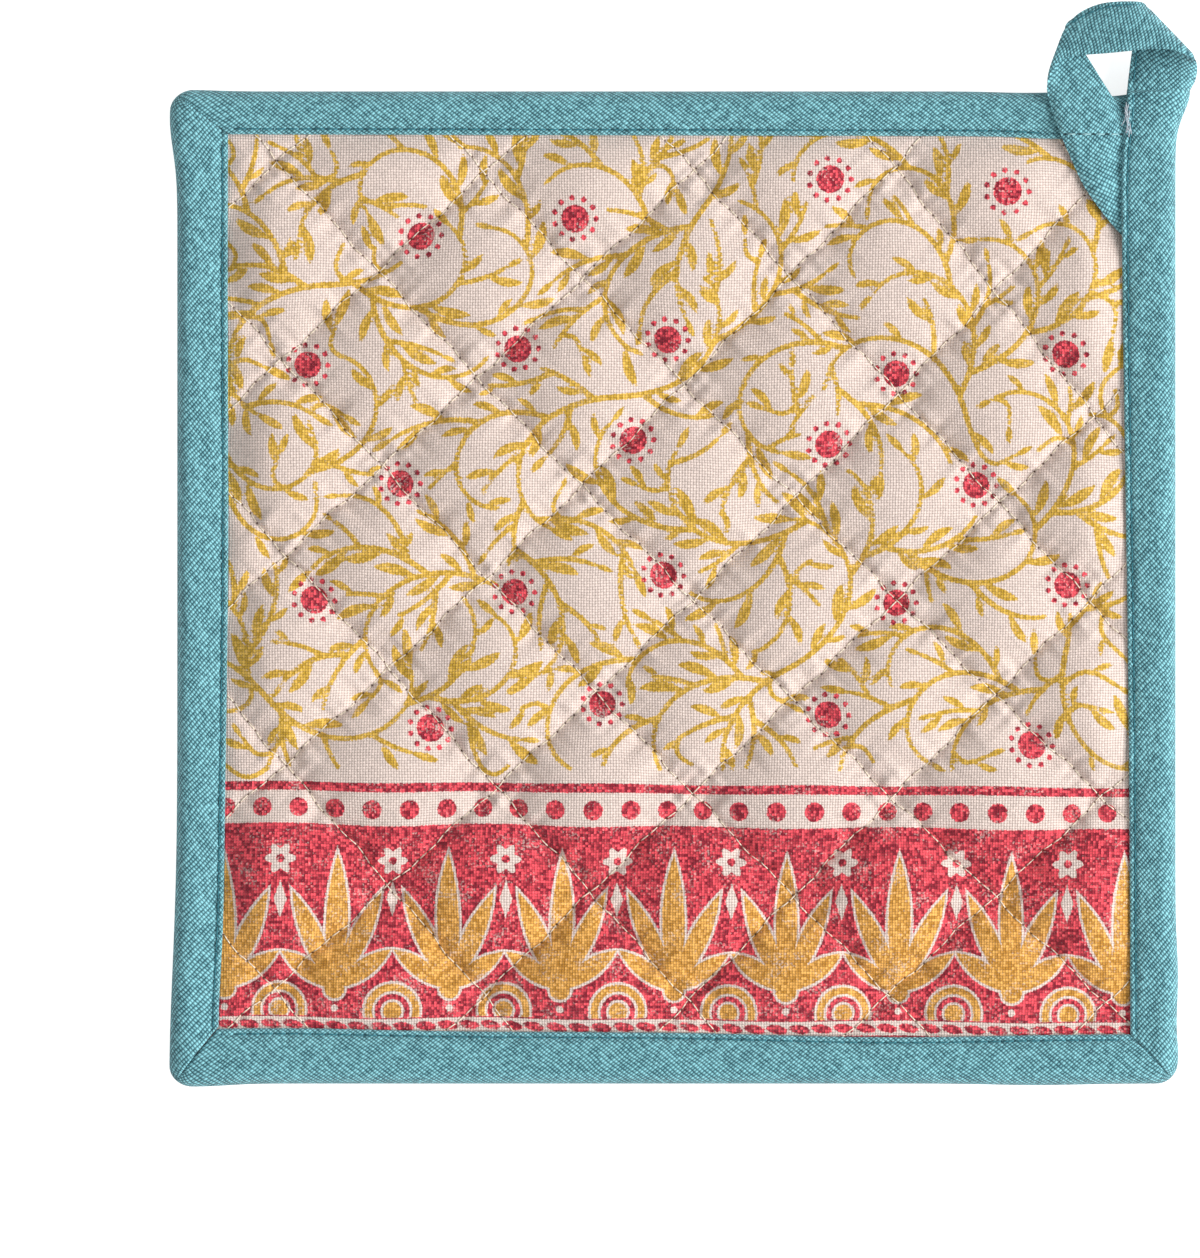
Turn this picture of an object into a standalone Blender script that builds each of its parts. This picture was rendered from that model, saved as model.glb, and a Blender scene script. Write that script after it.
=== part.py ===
"""Quilted pot holder with a bias binding and a hanging loop, lying on its back.

Lengths are in millimetres until a mesh is made. The plan is drawn from the middle of the
square: x to the right, y towards the loop, z up from the surface the holder lies on.
Three solids: the quilted panel, the binding folded over its edge, and the hanging loop,
which is the end of the binding's strip. The finished part is moved so that its origin is
under the middle of its box.
"""

import math
from collections import namedtuple

import bmesh
import bpy
from mathutils import Vector

MM = 0.001                    # metres in a millimetre
GAP = 0.3                     # air between two pieces that are sewn together
ROOT2 = math.sqrt(2.0)

# The square over its binding, before its edges bow and its corners flare
WIDE = 199.8
TALL = 198.6
CORNER_RADIUS = 4.2

# Quilted panel: heights above the surface
RIM_TOP = 4.35                # the rim that the binding pinches
RIM_LOW = 1.5
VALLEY_TOP = 4.75             # the sewn channels
VALLEY_LOW = 1.05
PUFF_TOP = 3.5                # how far a pillow's crown stands over its channels
PUFF_LOW = 1.9                # and how far it would sag below them, if nothing stopped it
PUFF_POWER = 2.2              # how full a pillow is: 2 is a parabola, more is flatter
PUFF_SPREAD = 0.08            # how much the pillows differ, as a share
EDGE_EASE = 9.0               # distance from the binding in which the pillows reach full height
RIM_INSET = 2.5               # from the binding's outer fold to the panel's rim
RIM_CORNER = 4.7              # cut-off corner of the rim, along the square's diagonal
SEAM_STEPS = 6                # faces between two neighbouring channels
WELD = 0.3                    # cuts closer than this to a point are merged with it

# Sewn channels. Each runs along a diagonal of the square, and is given by its distance from
# the middle at three places: 100 mm before its middle, at it, and 100 mm after it.
SEAM_REACH = 100.0
Seam = namedtuple("Seam", "before middle after")
RISING = (                    # run up to the right, from the lower right to the upper left
    Seam(-149.0, -149.0, -149.0),
    Seam(-119.5, -119.5, -119.5),
    Seam(-84.8, -88.6, -93.0),
    Seam(-60.1, -60.2, -60.4),
    Seam(-30.3, -32.1, -35.4),
    Seam(-0.6, -4.0, -2.7),
    Seam(31.5, 27.8, 29.1),
    Seam(62.8, 57.8, 56.5),
    Seam(91.2, 87.1, 83.3),
    Seam(120.8, 116.7, 112.5),
    Seam(150.0, 147.0, 144.0),
)
FALLING = (                   # run down to the right, from the lower left to the upper right
    Seam(-142.0, -145.0, -148.0),
    Seam(-109.5, -113.8, -117.9),
    Seam(-75.1, -82.7, -90.0),
    Seam(-48.8, -53.6, -59.2),
    Seam(-23.1, -26.1, -27.7),
    Seam(3.1, 0.6, 1.5),
    Seam(32.1, 29.5, 30.9),
    Seam(63.5, 59.0, 55.1),
    Seam(97.3, 87.3, 75.6),
    Seam(121.0, 117.0, 111.0),
    Seam(150.0, 146.5, 143.0),
)

# Sides of the square: outward normal, direction along, half size, and the width of the
# binding's front leg at the two ends of the side
Side = namedtuple("Side", "normal along half start_width end_width")
TOP = Side(Vector((0, 1)), Vector((1, 0)), TALL / 2, 8.7, 9.2)
LEFT = Side(Vector((-1, 0)), Vector((0, 1)), WIDE / 2, 9.2, 10.3)
BOTTOM = Side(Vector((0, -1)), Vector((1, 0)), TALL / 2, 10.8, 10.0)
RIGHT = Side(Vector((1, 0)), Vector((0, 1)), WIDE / 2, 9.2, 11.2)

# Places where the binding's outer fold or its inner edge leaves the straight line: where
# along the side, how far out, and over what length it dies away
Flare = namedtuple("Flare", "side at grow reach")
OUTER_FLARES = (
    Flare(LEFT, 94.0, 1.5, 9.0),
    Flare(LEFT, -99.0, 1.6, 32.0),
    Flare(TOP, -97.0, 0.3, 7.0),
    Flare(RIGHT, 99.3, 2.9, 6.0),
    Flare(RIGHT, -78.0, 0.5, 9.0),
    Flare(RIGHT, -93.5, 0.5, 4.5),
    Flare(BOTTOM, -96.0, 0.6, 8.0),
    Flare(BOTTOM, 72.0, 0.3, 12.0),
)
LIP_FLARES = (
    Flare(RIGHT, 97.0, 1.4, 9.0),
)

# Cross-section of the folded strip, round from under the front lip: each point is measured
# from the inner edge, LIP, or from the outer fold, FOLD
LIP = "lip"
FOLD = "fold"
Turn = namedtuple("Turn", "anchor distance z")
STRIP_SECTION = (
    Turn(LIP, 0.25, 4.65),
    Turn(LIP, 0.0, 4.95),
    Turn(LIP, 0.15, 5.3),
    Turn(LIP, 0.6, 5.45),
    Turn(LIP, 1.2, 5.2),      # pulled in by the top stitching
    Turn(LIP, 1.9, 5.6),
    Turn(LIP, 3.6, 5.95),
    Turn(FOLD, 3.6, 6.0),
    Turn(FOLD, 1.8, 5.75),
    Turn(FOLD, 0.6, 4.95),
    Turn(FOLD, 0.05, 3.6),
    Turn(FOLD, 0.0, 2.6),
    Turn(FOLD, 0.5, 1.0),
    Turn(FOLD, 1.4, 0.2),
    Turn(FOLD, 2.6, 0.0),
    Turn(LIP, 1.4, 0.0),
    Turn(LIP, 0.35, 0.2),
    Turn(LIP, 0.0, 0.6),
    Turn(LIP, 0.2, 1.2),
    Turn(FOLD, 2.2, 1.2),
    Turn(FOLD, 1.75, 1.7),
    Turn(FOLD, 1.7, 3.9),
    Turn(FOLD, 2.2, 4.65),
)
STRIP_TOP = 6.0
CREASE_FLOOR = 5.0            # a mitre's crease leaves this much of the front leg
SIDE_SECTIONS = 9
FAN_STEP = 0.08               # how far the sections of a corner stand apart on the inner edge
ARC_TURNS = (0.0, 22.0, 36.0, 45.0, 54.0, 68.0, 90.0)

# Hanging loop: a section for each row, from the end of the right side round two folds to
# the sewn-down end. The fold edge is the one that is the binding's outer fold at the root.
# laid is 1 where the strip lies on the holder, and there its height is that of what is below.
Row = namedtuple("Row", "fold_x fold_y fold_z lip_x lip_y lip_z thick laid")
LOOP_ROWS = (
    Row(102.8, 99.45, 3.0, 90.1, 99.45, 3.0, 5.9, 0.0),       # root
    Row(103.5, 101.1, 3.2, 90.3, 100.7, 3.2, 5.2, 0.0),
    Row(103.9, 102.7, 3.8, 90.6, 102.5, 3.8, 3.9, 0.0),
    Row(104.1, 104.1, 4.7, 90.9, 104.9, 4.4, 2.6, 0.0),
    Row(104.0, 105.1, 5.6, 91.3, 107.9, 4.8, 1.8, 0.0),
    Row(103.9, 105.7, 6.5, 92.1, 111.8, 5.2, 1.5, 0.0),
    Row(103.8, 106.1, 7.4, 92.9, 115.6, 5.8, 1.4, 0.0),       # first fold
    Row(103.7, 106.4, 8.7, 93.2, 116.7, 7.1, 1.4, 0.0),
    Row(103.1, 106.7, 10.1, 92.6, 117.0, 8.4, 1.4, 0.0),
    Row(100.7, 106.9, 11.5, 90.9, 117.1, 8.9, 1.5, 0.0),
    Row(96.7, 107.1, 12.6, 88.3, 117.0, 9.1, 1.5, 0.0),       # band across the top
    Row(91.1, 107.1, 13.1, 85.1, 116.6, 9.3, 1.5, 0.0),
    Row(85.7, 106.8, 12.9, 82.3, 115.9, 9.5, 1.5, 0.0),
    Row(81.3, 106.6, 12.3, 80.1, 115.2, 9.7, 1.5, 0.0),
    Row(77.6, 105.9, 11.3, 78.8, 114.5, 9.9, 1.3, 0.0),
    Row(75.2, 104.3, 10.3, 77.8, 113.9, 9.6, 1.2, 0.0),       # second fold
    Row(74.2, 101.9, 8.9, 77.4, 113.0, 8.5, 1.2, 0.0),
    Row(74.0, 99.5, 7.7, 78.0, 111.7, 7.4, 1.2, 0.3),
    Row(74.7, 96.3, 7.1, 79.9, 109.1, 7.0, 1.3, 0.8),
    Row(76.3, 91.7, 7.1, 82.1, 106.1, 7.1, 1.5, 1.0),         # sewn over the top side
    Row(78.5, 86.5, 7.1, 84.7, 101.9, 7.1, 1.5, 1.0),
    Row(81.3, 80.5, 7.1, 87.1, 98.1, 7.1, 1.5, 1.0),
    Row(84.7, 75.5, 7.1, 88.5, 96.1, 7.1, 1.5, 1.0),
    Row(88.4, 71.1, 7.1, 89.7, 94.5, 7.1, 1.5, 1.0),          # end, at the right side's lip
)
LOOP_STEPS = 3                # sections made between two rows
ACROSS = (0.0, 0.05, 0.27, 0.5, 0.73, 0.95, 1.0)              # places across the strip
FULLNESS = (0.4, 0.9, 1.0, 1.0, 1.0, 0.9, 0.4)                # its thickness there, as a share
REST_CLEARANCE = 0.35         # between the sewn-down end and what it lies on
STEP_OUT = 1.5                # it comes down from the binding to the panel over this stretch
STEP_IN = 3.5
PRESSED_TOP = 4.85            # height of the panel under it
PRESS_EASE = 9.0              # distance from it in which the pillows rise again
TAPE_THICK = 1.5              # where the strip is much thicker than this it is still a wad

CREAM = (0.775, 0.658, 0.578, 1.0)
TEAL = (0.171, 0.402, 0.468, 1.0)


def smooth(value):
    """Ease from 0 to 1 as the value goes from 0 to 1."""
    value = min(max(value, 0.0), 1.0)
    return value * value * (3.0 - 2.0 * value)


# --- The square's edges -----------------------------------------------------------------

def flare_at(flares, side, at):
    """How far the flares push a side's line outwards at one place along it."""
    return sum(
        flare.grow * math.exp(-((at - flare.at) / flare.reach) ** 2)
        for flare in flares
        if flare.side is side
    )


def lip_inset(side, at):
    """Distance from the side's straight line in to the binding's inner edge."""
    half_length = WIDE / 2 if side.along.x else TALL / 2
    share = (at / half_length + 1.0) / 2.0
    straight = side.start_width + (side.end_width - side.start_width) * share
    return straight - flare_at(LIP_FLARES, side, at)


def side_point(side, at, inset):
    """Plan point at a place along a side, and a distance inside its straight line."""
    return side.normal * (side.half - inset) + side.along * at


def lip_point(side, at):
    return side_point(side, at, lip_inset(side, at))


def outer_point(side, at):
    return side_point(side, at, -flare_at(OUTER_FLARES, side, at))


def lip_depth(point):
    """Distance of a plan point inside the nearest inner edge of the binding."""
    return min(
        side.half - point.dot(side.normal) - lip_inset(side, point.dot(side.along))
        for side in (TOP, LEFT, BOTTOM, RIGHT)
    )


# --- The sewn-down end of the loop, as the panel feels it -------------------------------

def tail_distance(point):
    """Distance of a plan point to the left of the sewn-down end, 0 or less under it."""
    above = LOOP_ROWS[-5]
    below = LOOP_ROWS[-1]
    start = Vector((above.fold_x, above.fold_y))
    run = (Vector((below.fold_x, below.fold_y)) - start).normalized()
    away = point - start
    return run.y * away.x - run.x * away.y


# --- Quilting ---------------------------------------------------------------------------

def seam_offset(seam, along):
    """Distance of a channel from the middle, at a place along it."""
    share = along / SEAM_REACH
    lean = (seam.after - seam.before) / 2.0
    bow = (seam.after + seam.before) / 2.0 - seam.middle
    return seam.middle + lean * share + bow * share * share


def between_seams(seams, number, along):
    """Distance from the middle of a line that may lie part way between two channels."""
    lower = min(int(number), len(seams) - 2)
    share = number - lower
    first = seam_offset(seams[lower], along)
    second = seam_offset(seams[lower + 1], along)
    return first + (second - first) * share


def lattice_point(rising, falling):
    """Plan point where a rising and a falling line cross, by their numbers."""
    across = between_seams(RISING, rising, 0.0)
    up = between_seams(FALLING, falling, 0.0)
    for _ in range(6):
        across = between_seams(RISING, rising, up)
        up = between_seams(FALLING, falling, -across)
    return Vector(((up - across) / ROOT2, (up + across) / ROOT2))


def fullness(number):
    """0 on a channel, 1 half way to the next."""
    share = number - math.floor(number)
    return 1.0 - abs(2.0 * share - 1.0) ** PUFF_POWER


def pillow(rising, falling):
    """How far a place on the panel is puffed, with each pillow a little different."""
    mood = math.sin(2.1 * math.floor(rising) + 3.7 * math.floor(falling))
    return fullness(rising) * fullness(falling) * (1.0 + PUFF_SPREAD * mood)


def panel_heights(point, puff):
    """Top and underside of the panel at a plan point."""
    ease = min(max(lip_depth(point) / EDGE_EASE, 0.0), 1.0)
    ease = 1.0 - (1.0 - ease) ** 2
    swell = ease * smooth(tail_distance(point) / PRESS_EASE)
    top = RIM_TOP + (VALLEY_TOP - RIM_TOP) * ease + PUFF_TOP * puff * swell
    low = RIM_LOW - (RIM_LOW - VALLEY_LOW) * ease - PUFF_LOW * puff * ease
    return top, max(low, 0.0)


def cut(mesh, inside, normal, trim):
    """Cut a flat mesh along a line, and drop what lies beyond it if trim is set."""
    bmesh.ops.bisect_plane(
        mesh,
        geom=mesh.verts[:] + mesh.edges[:] + mesh.faces[:],
        dist=WELD / 10.0,
        plane_co=inside.to_3d(),
        plane_no=normal.to_3d(),
        clear_outer=trim,
    )


def make_panel():
    """Lattice of the sewn channels, trimmed to the rim and given its two quilted faces."""
    flat = bmesh.new()
    puff_layer = flat.verts.layers.float.new("puff")
    lines = SEAM_STEPS * (len(RISING) - 1) + 1
    grid = []
    for i in range(lines):
        row = []
        for j in range(lines):
            rising = i / SEAM_STEPS
            falling = j / SEAM_STEPS
            vertex = flat.verts.new(lattice_point(rising, falling).to_3d())
            vertex[puff_layer] = pillow(rising, falling)
            row.append(vertex)
        grid.append(row)
    for i in range(lines - 1):
        for j in range(lines - 1):
            flat.faces.new((grid[i][j], grid[i][j + 1], grid[i + 1][j + 1], grid[i + 1][j]))

    for side in (TOP, LEFT, BOTTOM, RIGHT):
        start = side_point(side, -side.half, side.start_width)
        end = side_point(side, side.half, side.end_width)
        line = (end - start).normalized()
        outward = Vector((line.y, -line.x))
        if outward.dot(side.normal) < 0:
            outward = -outward
        cut(flat, start, outward, trim=False)
        cut(flat, side_point(side, 0.0, RIM_INSET), side.normal, trim=True)
    for flat_side in (TOP, BOTTOM):
        for upright in (LEFT, RIGHT):
            corner = flat_side.normal * flat_side.half + upright.normal * upright.half
            diagonal = (flat_side.normal + upright.normal).normalized()
            cut(flat, corner - diagonal * RIM_CORNER, diagonal, trim=True)
    bmesh.ops.remove_doubles(flat, verts=flat.verts[:], dist=WELD)
    bmesh.ops.recalc_face_normals(flat, faces=flat.faces[:])
    if flat.faces[0].normal.z < 0:
        bmesh.ops.reverse_faces(flat, faces=flat.faces[:])
    bmesh.ops.triangulate(flat, faces=flat.faces[:])

    rim = []
    for edge in flat.edges:
        if edge.is_boundary:
            loop = edge.link_loops[0]
            rim.append((loop.vert, loop.link_loop_next.vert))
    upper_faces = [list(face.verts) for face in flat.faces]
    under = {}
    for vertex in flat.verts[:]:
        top, low = panel_heights(vertex.co.to_2d(), vertex[puff_layer])
        under[vertex] = flat.verts.new((vertex.co.x, vertex.co.y, low))
        vertex.co.z = top
    for corners in upper_faces:
        flat.faces.new([under[vertex] for vertex in reversed(corners)])
    for first, second in rim:
        flat.faces.new((second, first, under[first], under[second]))
    return flat


# --- Binding ----------------------------------------------------------------------------

Section = namedtuple("Section", "lip outer crease")


def side_sections(side, start, end):
    """Sections square across a side, from one place along it to another."""
    places = [start + (end - start) * i / (SIDE_SECTIONS - 1) for i in range(SIDE_SECTIONS)]
    return [Section(lip_point(side, at), outer_point(side, at), 0.0) for at in places]


def lip_corner(first, second):
    """Inner corner of the binding, where the straight inner edges of two sides meet."""
    corner = first.normal * first.half + second.normal * second.half
    for _ in range(4):
        corner = (
            first.normal * (first.half - lip_inset(first, corner.dot(first.along)))
            + second.normal * (second.half - lip_inset(second, corner.dot(second.along)))
        )
    return corner


def corner_sections(first, second, crease):
    """Sections that fan round a mitred corner, with a crease along the mitre."""
    inner = lip_corner(first, second)
    centre = (
        first.normal * (first.half - CORNER_RADIUS) + second.normal * (second.half - CORNER_RADIUS)
    )
    across = [inner + first.normal * (first.half - inner.dot(first.normal))]
    across.append((across[0] + centre + first.normal * CORNER_RADIUS) / 2)
    creases = [0.0, 0.0]
    for degrees in ARC_TURNS:
        turn = math.radians(degrees)
        arm = first.normal * math.cos(turn) + second.normal * math.sin(turn)
        across.append(centre + arm * CORNER_RADIUS)
        creases.append(crease if degrees == 45.0 else 0.0)
    last = inner + second.normal * (second.half - inner.dot(second.normal))
    across.append((last + centre + second.normal * CORNER_RADIUS) / 2)
    across.append(last)
    creases.extend((0.0, 0.0))

    sections = []
    middle = (len(across) - 1) / 2
    for number, (point, depth) in enumerate(zip(across, creases)):
        point = (
            point
            + first.normal * flare_at(OUTER_FLARES, first, point.dot(first.along))
            + second.normal * flare_at(OUTER_FLARES, second, point.dot(second.along))
        )
        step = (number - middle) * FAN_STEP
        towards = second.normal if number < middle else -first.normal
        sections.append(Section(inner + towards * step, point, depth))
    return sections


def section_ring(section):
    """3D points of the strip's section on one line across the binding."""
    outward = (section.outer - section.lip).normalized()
    ring = []
    for turn in STRIP_SECTION:
        if turn.anchor == LIP:
            point = section.lip + outward * turn.distance
        else:
            point = section.outer - outward * turn.distance
        height = turn.z
        if height > CREASE_FLOOR:
            height = max(height - section.crease, CREASE_FLOOR)
        ring.append(point.to_3d() + Vector((0, 0, height)))
    return ring


def skin(rings):
    """Closed solid over a row of rings with as many points each."""
    solid = bmesh.new()
    rows = [[solid.verts.new(point) for point in ring] for ring in rings]
    count = len(rows[0])
    for row, after in zip(rows, rows[1:]):
        for i in range(count):
            j = (i + 1) % count
            solid.faces.new((row[i], row[j], after[j], after[i]))
    solid.faces.new(reversed(rows[0]))
    solid.faces.new(rows[-1])
    solid.normal_update()
    bmesh.ops.triangulate(solid, faces=solid.faces[:])
    bmesh.ops.recalc_face_normals(solid, faces=solid.faces[:])
    return solid


def make_binding():
    """One strip from the top side's right end, to the left, down, along and up again."""
    top_left = lip_corner(TOP, LEFT)
    bottom_left = lip_corner(LEFT, BOTTOM)
    bottom_right = lip_corner(BOTTOM, RIGHT)
    start_lip = lip_point(RIGHT, TALL / 2 - TOP.end_width)
    start_outer = lip_point(RIGHT, TALL / 2)
    seam_gap = Vector((GAP + 0.05, 0))
    butt = Section(
        Vector((start_lip.x, lip_point(TOP, start_lip.x).y)) - seam_gap,
        Vector((start_outer.x, TALL / 2)) - seam_gap,
        0.0,
    )
    sections = [butt]
    sections += side_sections(TOP, start_lip.x - 4.0, top_left.x + 2.0)
    sections += corner_sections(TOP, LEFT, crease=0.25)
    sections += side_sections(LEFT, top_left.y - 2.0, bottom_left.y + 2.0)
    sections += corner_sections(LEFT, BOTTOM, crease=0.7)
    sections += side_sections(BOTTOM, bottom_left.x + 2.0, bottom_right.x - 2.0)
    sections += corner_sections(BOTTOM, RIGHT, crease=0.7)
    sections += side_sections(RIGHT, bottom_right.y + 2.0, TALL / 2 - 20.0)
    sections += side_sections(RIGHT, TALL / 2 - 17.0, TALL / 2 - GAP / 2)
    return skin([section_ring(section) for section in sections])


# --- Hanging loop -----------------------------------------------------------------------

def support_height(point):
    """Height of what the loop's sewn-down end lies on."""
    inside = lip_inset(TOP, point.x) - (TALL / 2 - point.y)
    share = smooth((STEP_OUT - inside) / (STEP_OUT + STEP_IN))
    return STRIP_TOP + (PRESSED_TOP - STRIP_TOP) * share


def row_between(rows, knots, number, share):
    """Row of numbers on the smooth curve through the rows, between two of them."""
    def slope(i):
        low = max(i - 1, 0)
        high = min(i + 1, len(rows) - 1)
        span = knots[high] - knots[low]
        return [(b - a) / span for a, b in zip(rows[low], rows[high])]

    span = knots[number + 1] - knots[number]
    square = share * share
    cube = square * share
    start_weight = 2 * cube - 3 * square + 1
    end_weight = 3 * square - 2 * cube
    leave = (cube - 2 * square + share) * span
    arrive = (cube - square) * span
    return Row(*(
        a * start_weight + b * end_weight + m * leave + n * arrive
        for a, b, m, n in zip(rows[number], rows[number + 1], slope(number), slope(number + 1))
    ))


def loop_rows():
    """The loop's rows with smooth ones made between them."""
    knots = [0.0]
    for row, after in zip(LOOP_ROWS, LOOP_ROWS[1:]):
        fold_run = math.dist(row[0:3], after[0:3])
        lip_run = math.dist(row[3:6], after[3:6])
        knots.append(knots[-1] + math.sqrt(fold_run + lip_run))
    rows = []
    for number in range(len(LOOP_ROWS) - 1):
        for step in range(LOOP_STEPS):
            rows.append(row_between(LOOP_ROWS, knots, number, step / LOOP_STEPS))
    rows.append(LOOP_ROWS[-1])
    return rows


def row_middle(row):
    """Points across the middle of the strip's thickness, from its lip edge to its fold."""
    lip = Vector((row.lip_x, row.lip_y, row.lip_z))
    fold = Vector((row.fold_x, row.fold_y, row.fold_z))
    points = []
    for place in ACROSS:
        point = lip.lerp(fold, place)
        lying = support_height(point.to_2d()) + REST_CLEARANCE + row.thick / 2
        point.z += (lying - point.z) * min(max(row.laid, 0.0), 1.0)
        points.append(point)
    return points


def make_loop():
    """The strip's end, thick at the root and flat beyond it, folded twice and laid back."""
    rows = loop_rows()
    middles = [row_middle(row) for row in rows]
    for point in middles[-1]:
        point.x = lip_point(RIGHT, point.y).x - GAP - 0.1
    rings = []
    for number, (row, points) in enumerate(zip(rows, middles)):
        before = middles[max(number - 1, 0)]
        after = middles[min(number + 1, len(rows) - 1)]
        upper = []
        lower = []
        for i, point in enumerate(points):
            along = after[i] - before[i]
            along.z *= 1.0 - smooth((row.thick - TAPE_THICK) / TAPE_THICK)
            across = points[min(i + 1, len(points) - 1)] - points[max(i - 1, 0)]
            normal = across.cross(along).normalized()
            offset = normal * (row.thick / 2 * FULLNESS[i])
            upper.append(point + offset)
            lower.append(point - offset)
        rings.append(upper + lower[::-1])
    return skin(rings)


# --- The finished part ------------------------------------------------------------------

def cloth(name, colour):
    """Plain matt cloth of one colour."""
    material = bpy.data.materials.new(name)
    material.use_nodes = True
    shader = material.node_tree.nodes["Principled BSDF"]
    shader.inputs["Base Color"].default_value = colour
    shader.inputs["Roughness"].default_value = 0.9
    shader.inputs["Metallic"].default_value = 0.0
    return material


def add_piece(name, solid, material, parent):
    """Make an object of a solid drawn in millimetres."""
    bmesh.ops.scale(solid, vec=(MM, MM, MM), verts=solid.verts[:])
    mesh = bpy.data.meshes.new(name)
    solid.to_mesh(mesh)
    solid.free()
    mesh.materials.append(material)
    mesh.shade_smooth()
    mesh.set_sharp_from_angle(angle=math.radians(50))
    piece = bpy.data.objects.new(name, mesh)
    piece.parent = parent
    bpy.context.scene.collection.objects.link(piece)
    return piece


def stand_on_origin(holder, pieces):
    """Move the holder so that the origin is under the middle of its box."""
    points = [vertex.co for piece in pieces for vertex in piece.data.vertices]
    low = [min(point[axis] for point in points) for axis in range(3)]
    high = [max(point[axis] for point in points) for axis in range(3)]
    holder.location = (-(low[0] + high[0]) / 2, -(low[1] + high[1]) / 2, -low[2])


def main():
    for leftover in list(bpy.data.objects):
        bpy.data.objects.remove(leftover)
    holder = bpy.data.objects.new("pot_holder", None)
    bpy.context.scene.collection.objects.link(holder)
    cream_cloth = cloth("printed_cotton", CREAM)
    teal_cloth = cloth("bias_cotton", TEAL)
    pieces = [
        add_piece("quilted_panel", make_panel(), cream_cloth, holder),
        add_piece("binding", make_binding(), teal_cloth, holder),
        add_piece("hanging_loop", make_loop(), teal_cloth, holder),
    ]
    stand_on_origin(holder, pieces)


main()
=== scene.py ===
"""Looks of a quilted pot holder: printed cloth, bias binding, hanging loop and sewing.

Lengths are in millimetres until a mesh is made. The plan is drawn from the middle of the
square: x to the right, y towards the loop, z up from the surface that the holder lies on.
"""

import logging
import math
from collections import deque
from dataclasses import dataclass
from enum import Enum
from typing import NamedTuple

import bpy
import numpy as np
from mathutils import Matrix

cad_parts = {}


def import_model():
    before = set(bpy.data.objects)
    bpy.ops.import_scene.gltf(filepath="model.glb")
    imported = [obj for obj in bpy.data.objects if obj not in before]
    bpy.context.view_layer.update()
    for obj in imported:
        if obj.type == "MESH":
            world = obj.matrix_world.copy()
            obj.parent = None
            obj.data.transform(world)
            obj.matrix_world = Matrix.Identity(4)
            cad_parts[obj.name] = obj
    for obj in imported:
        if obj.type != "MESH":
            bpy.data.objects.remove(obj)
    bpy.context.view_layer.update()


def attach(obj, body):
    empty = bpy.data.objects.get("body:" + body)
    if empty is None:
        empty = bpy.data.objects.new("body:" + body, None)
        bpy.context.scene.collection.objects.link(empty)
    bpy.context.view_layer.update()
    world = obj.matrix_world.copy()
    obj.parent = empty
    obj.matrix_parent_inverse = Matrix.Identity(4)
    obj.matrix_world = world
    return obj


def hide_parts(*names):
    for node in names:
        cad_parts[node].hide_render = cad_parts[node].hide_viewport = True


LOG = logging.getLogger("pot_holder")
MM = 0.001
ROOT2 = math.sqrt(2.0)
SQUARE_MIDDLE = (-1.322, -8.654, 0.0)    # where the middle of the square is in the frame

WIDE = 199.8
TALL = 198.6
CORNER_RADIUS = 3.9
HALF = np.array([WIDE / 2, TALL / 2])


class Slot(Enum):
    """Material slots of the record."""

    PRINTED = "printed_cotton"
    BIAS = "bias_cotton"


def ease(value: np.ndarray) -> np.ndarray:
    """Go smoothly from 0 to 1 as the value does."""
    value = np.clip(value, 0.0, 1.0)
    return value * value * (3.0 - 2.0 * value)


def hump(distance: np.ndarray, width: float) -> np.ndarray:
    """Go from 1 where the distance is 0 to nothing a few widths away."""
    return np.exp(-((distance / width) ** 2))


def pair(x: np.ndarray, y: np.ndarray) -> np.ndarray:
    """Vectors of two numbers and a zero."""
    x, y = np.broadcast_arrays(x, y)
    return np.stack([x, y, np.zeros_like(x)], axis=-1)


def circle(angles: np.ndarray) -> np.ndarray:
    """Points at these angles on a circle of radius one."""
    return np.array([[math.cos(angle), math.sin(angle)] for angle in angles])


def from_hole(stitches: np.ndarray, length: float) -> np.ndarray:
    """Distance from the nearest needle hole, for places counted in stitches of a length."""
    return np.abs((stitches + 0.5) % 1.0 - 0.5) * length


class Wave(NamedTuple):
    """A ripple: its height and rate, and how far a line's number and a shift turn it."""

    height: float
    rate: float
    turn: float
    shift: float


def ripple(waves: tuple[Wave, ...], along: np.ndarray, number: np.ndarray | int) -> np.ndarray:
    """Sum of waves at places along numbered lines."""
    return sum(
        wave.height * np.sin(wave.rate * along + wave.turn * number + wave.shift)
        for wave in waves
    )


# --- Outline ------------------------------------------------------------------------------

@dataclass(frozen=True)
class Side:
    """One side of the square over its binding.

    Attributes:
        normal: outward direction.
        along: direction in which places along the side are counted.
        half: distance from the middle of the square to the side.
        start_width: width of the binding's front leg where the side starts.
        end_width: that width where the side ends.
        rise: slope at which the front leg climbs from its stitches to the fold.
        lean: how far the strip's threads lean from straight across it, in degrees.
        reverse: whether the strip runs against the side's own direction.
    """

    normal: tuple[int, int]
    along: tuple[int, int]
    half: float
    start_width: float
    end_width: float
    rise: float
    lean: float
    reverse: bool

    def plan(self, at: np.ndarray, inset: np.ndarray) -> np.ndarray:
        """Plan points at places along the side, this far in from it."""
        out = (self.half - inset)[..., None] * np.array(self.normal, float)
        return at[..., None] * np.array(self.along, float) + out


class Edge(Enum):
    """The four sides."""

    TOP = Side((0, 1), (1, 0), TALL / 2, 8.7, 9.2, 0.0, 51.0, True)
    LEFT = Side((-1, 0), (0, 1), WIDE / 2, 9.2, 10.3, 0.14, 49.0, True)
    BOTTOM = Side((0, -1), (1, 0), TALL / 2, 10.8, 10.0, 0.02, 51.0, False)
    RIGHT = Side((1, 0), (0, 1), WIDE / 2, 9.2, 11.2, 0.04, 49.0, False)


class Bulge(NamedTuple):
    """A place where an edge leaves its straight line: where, how far, over what length."""

    edge: Edge
    at: float
    grow: float
    reach: float


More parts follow.
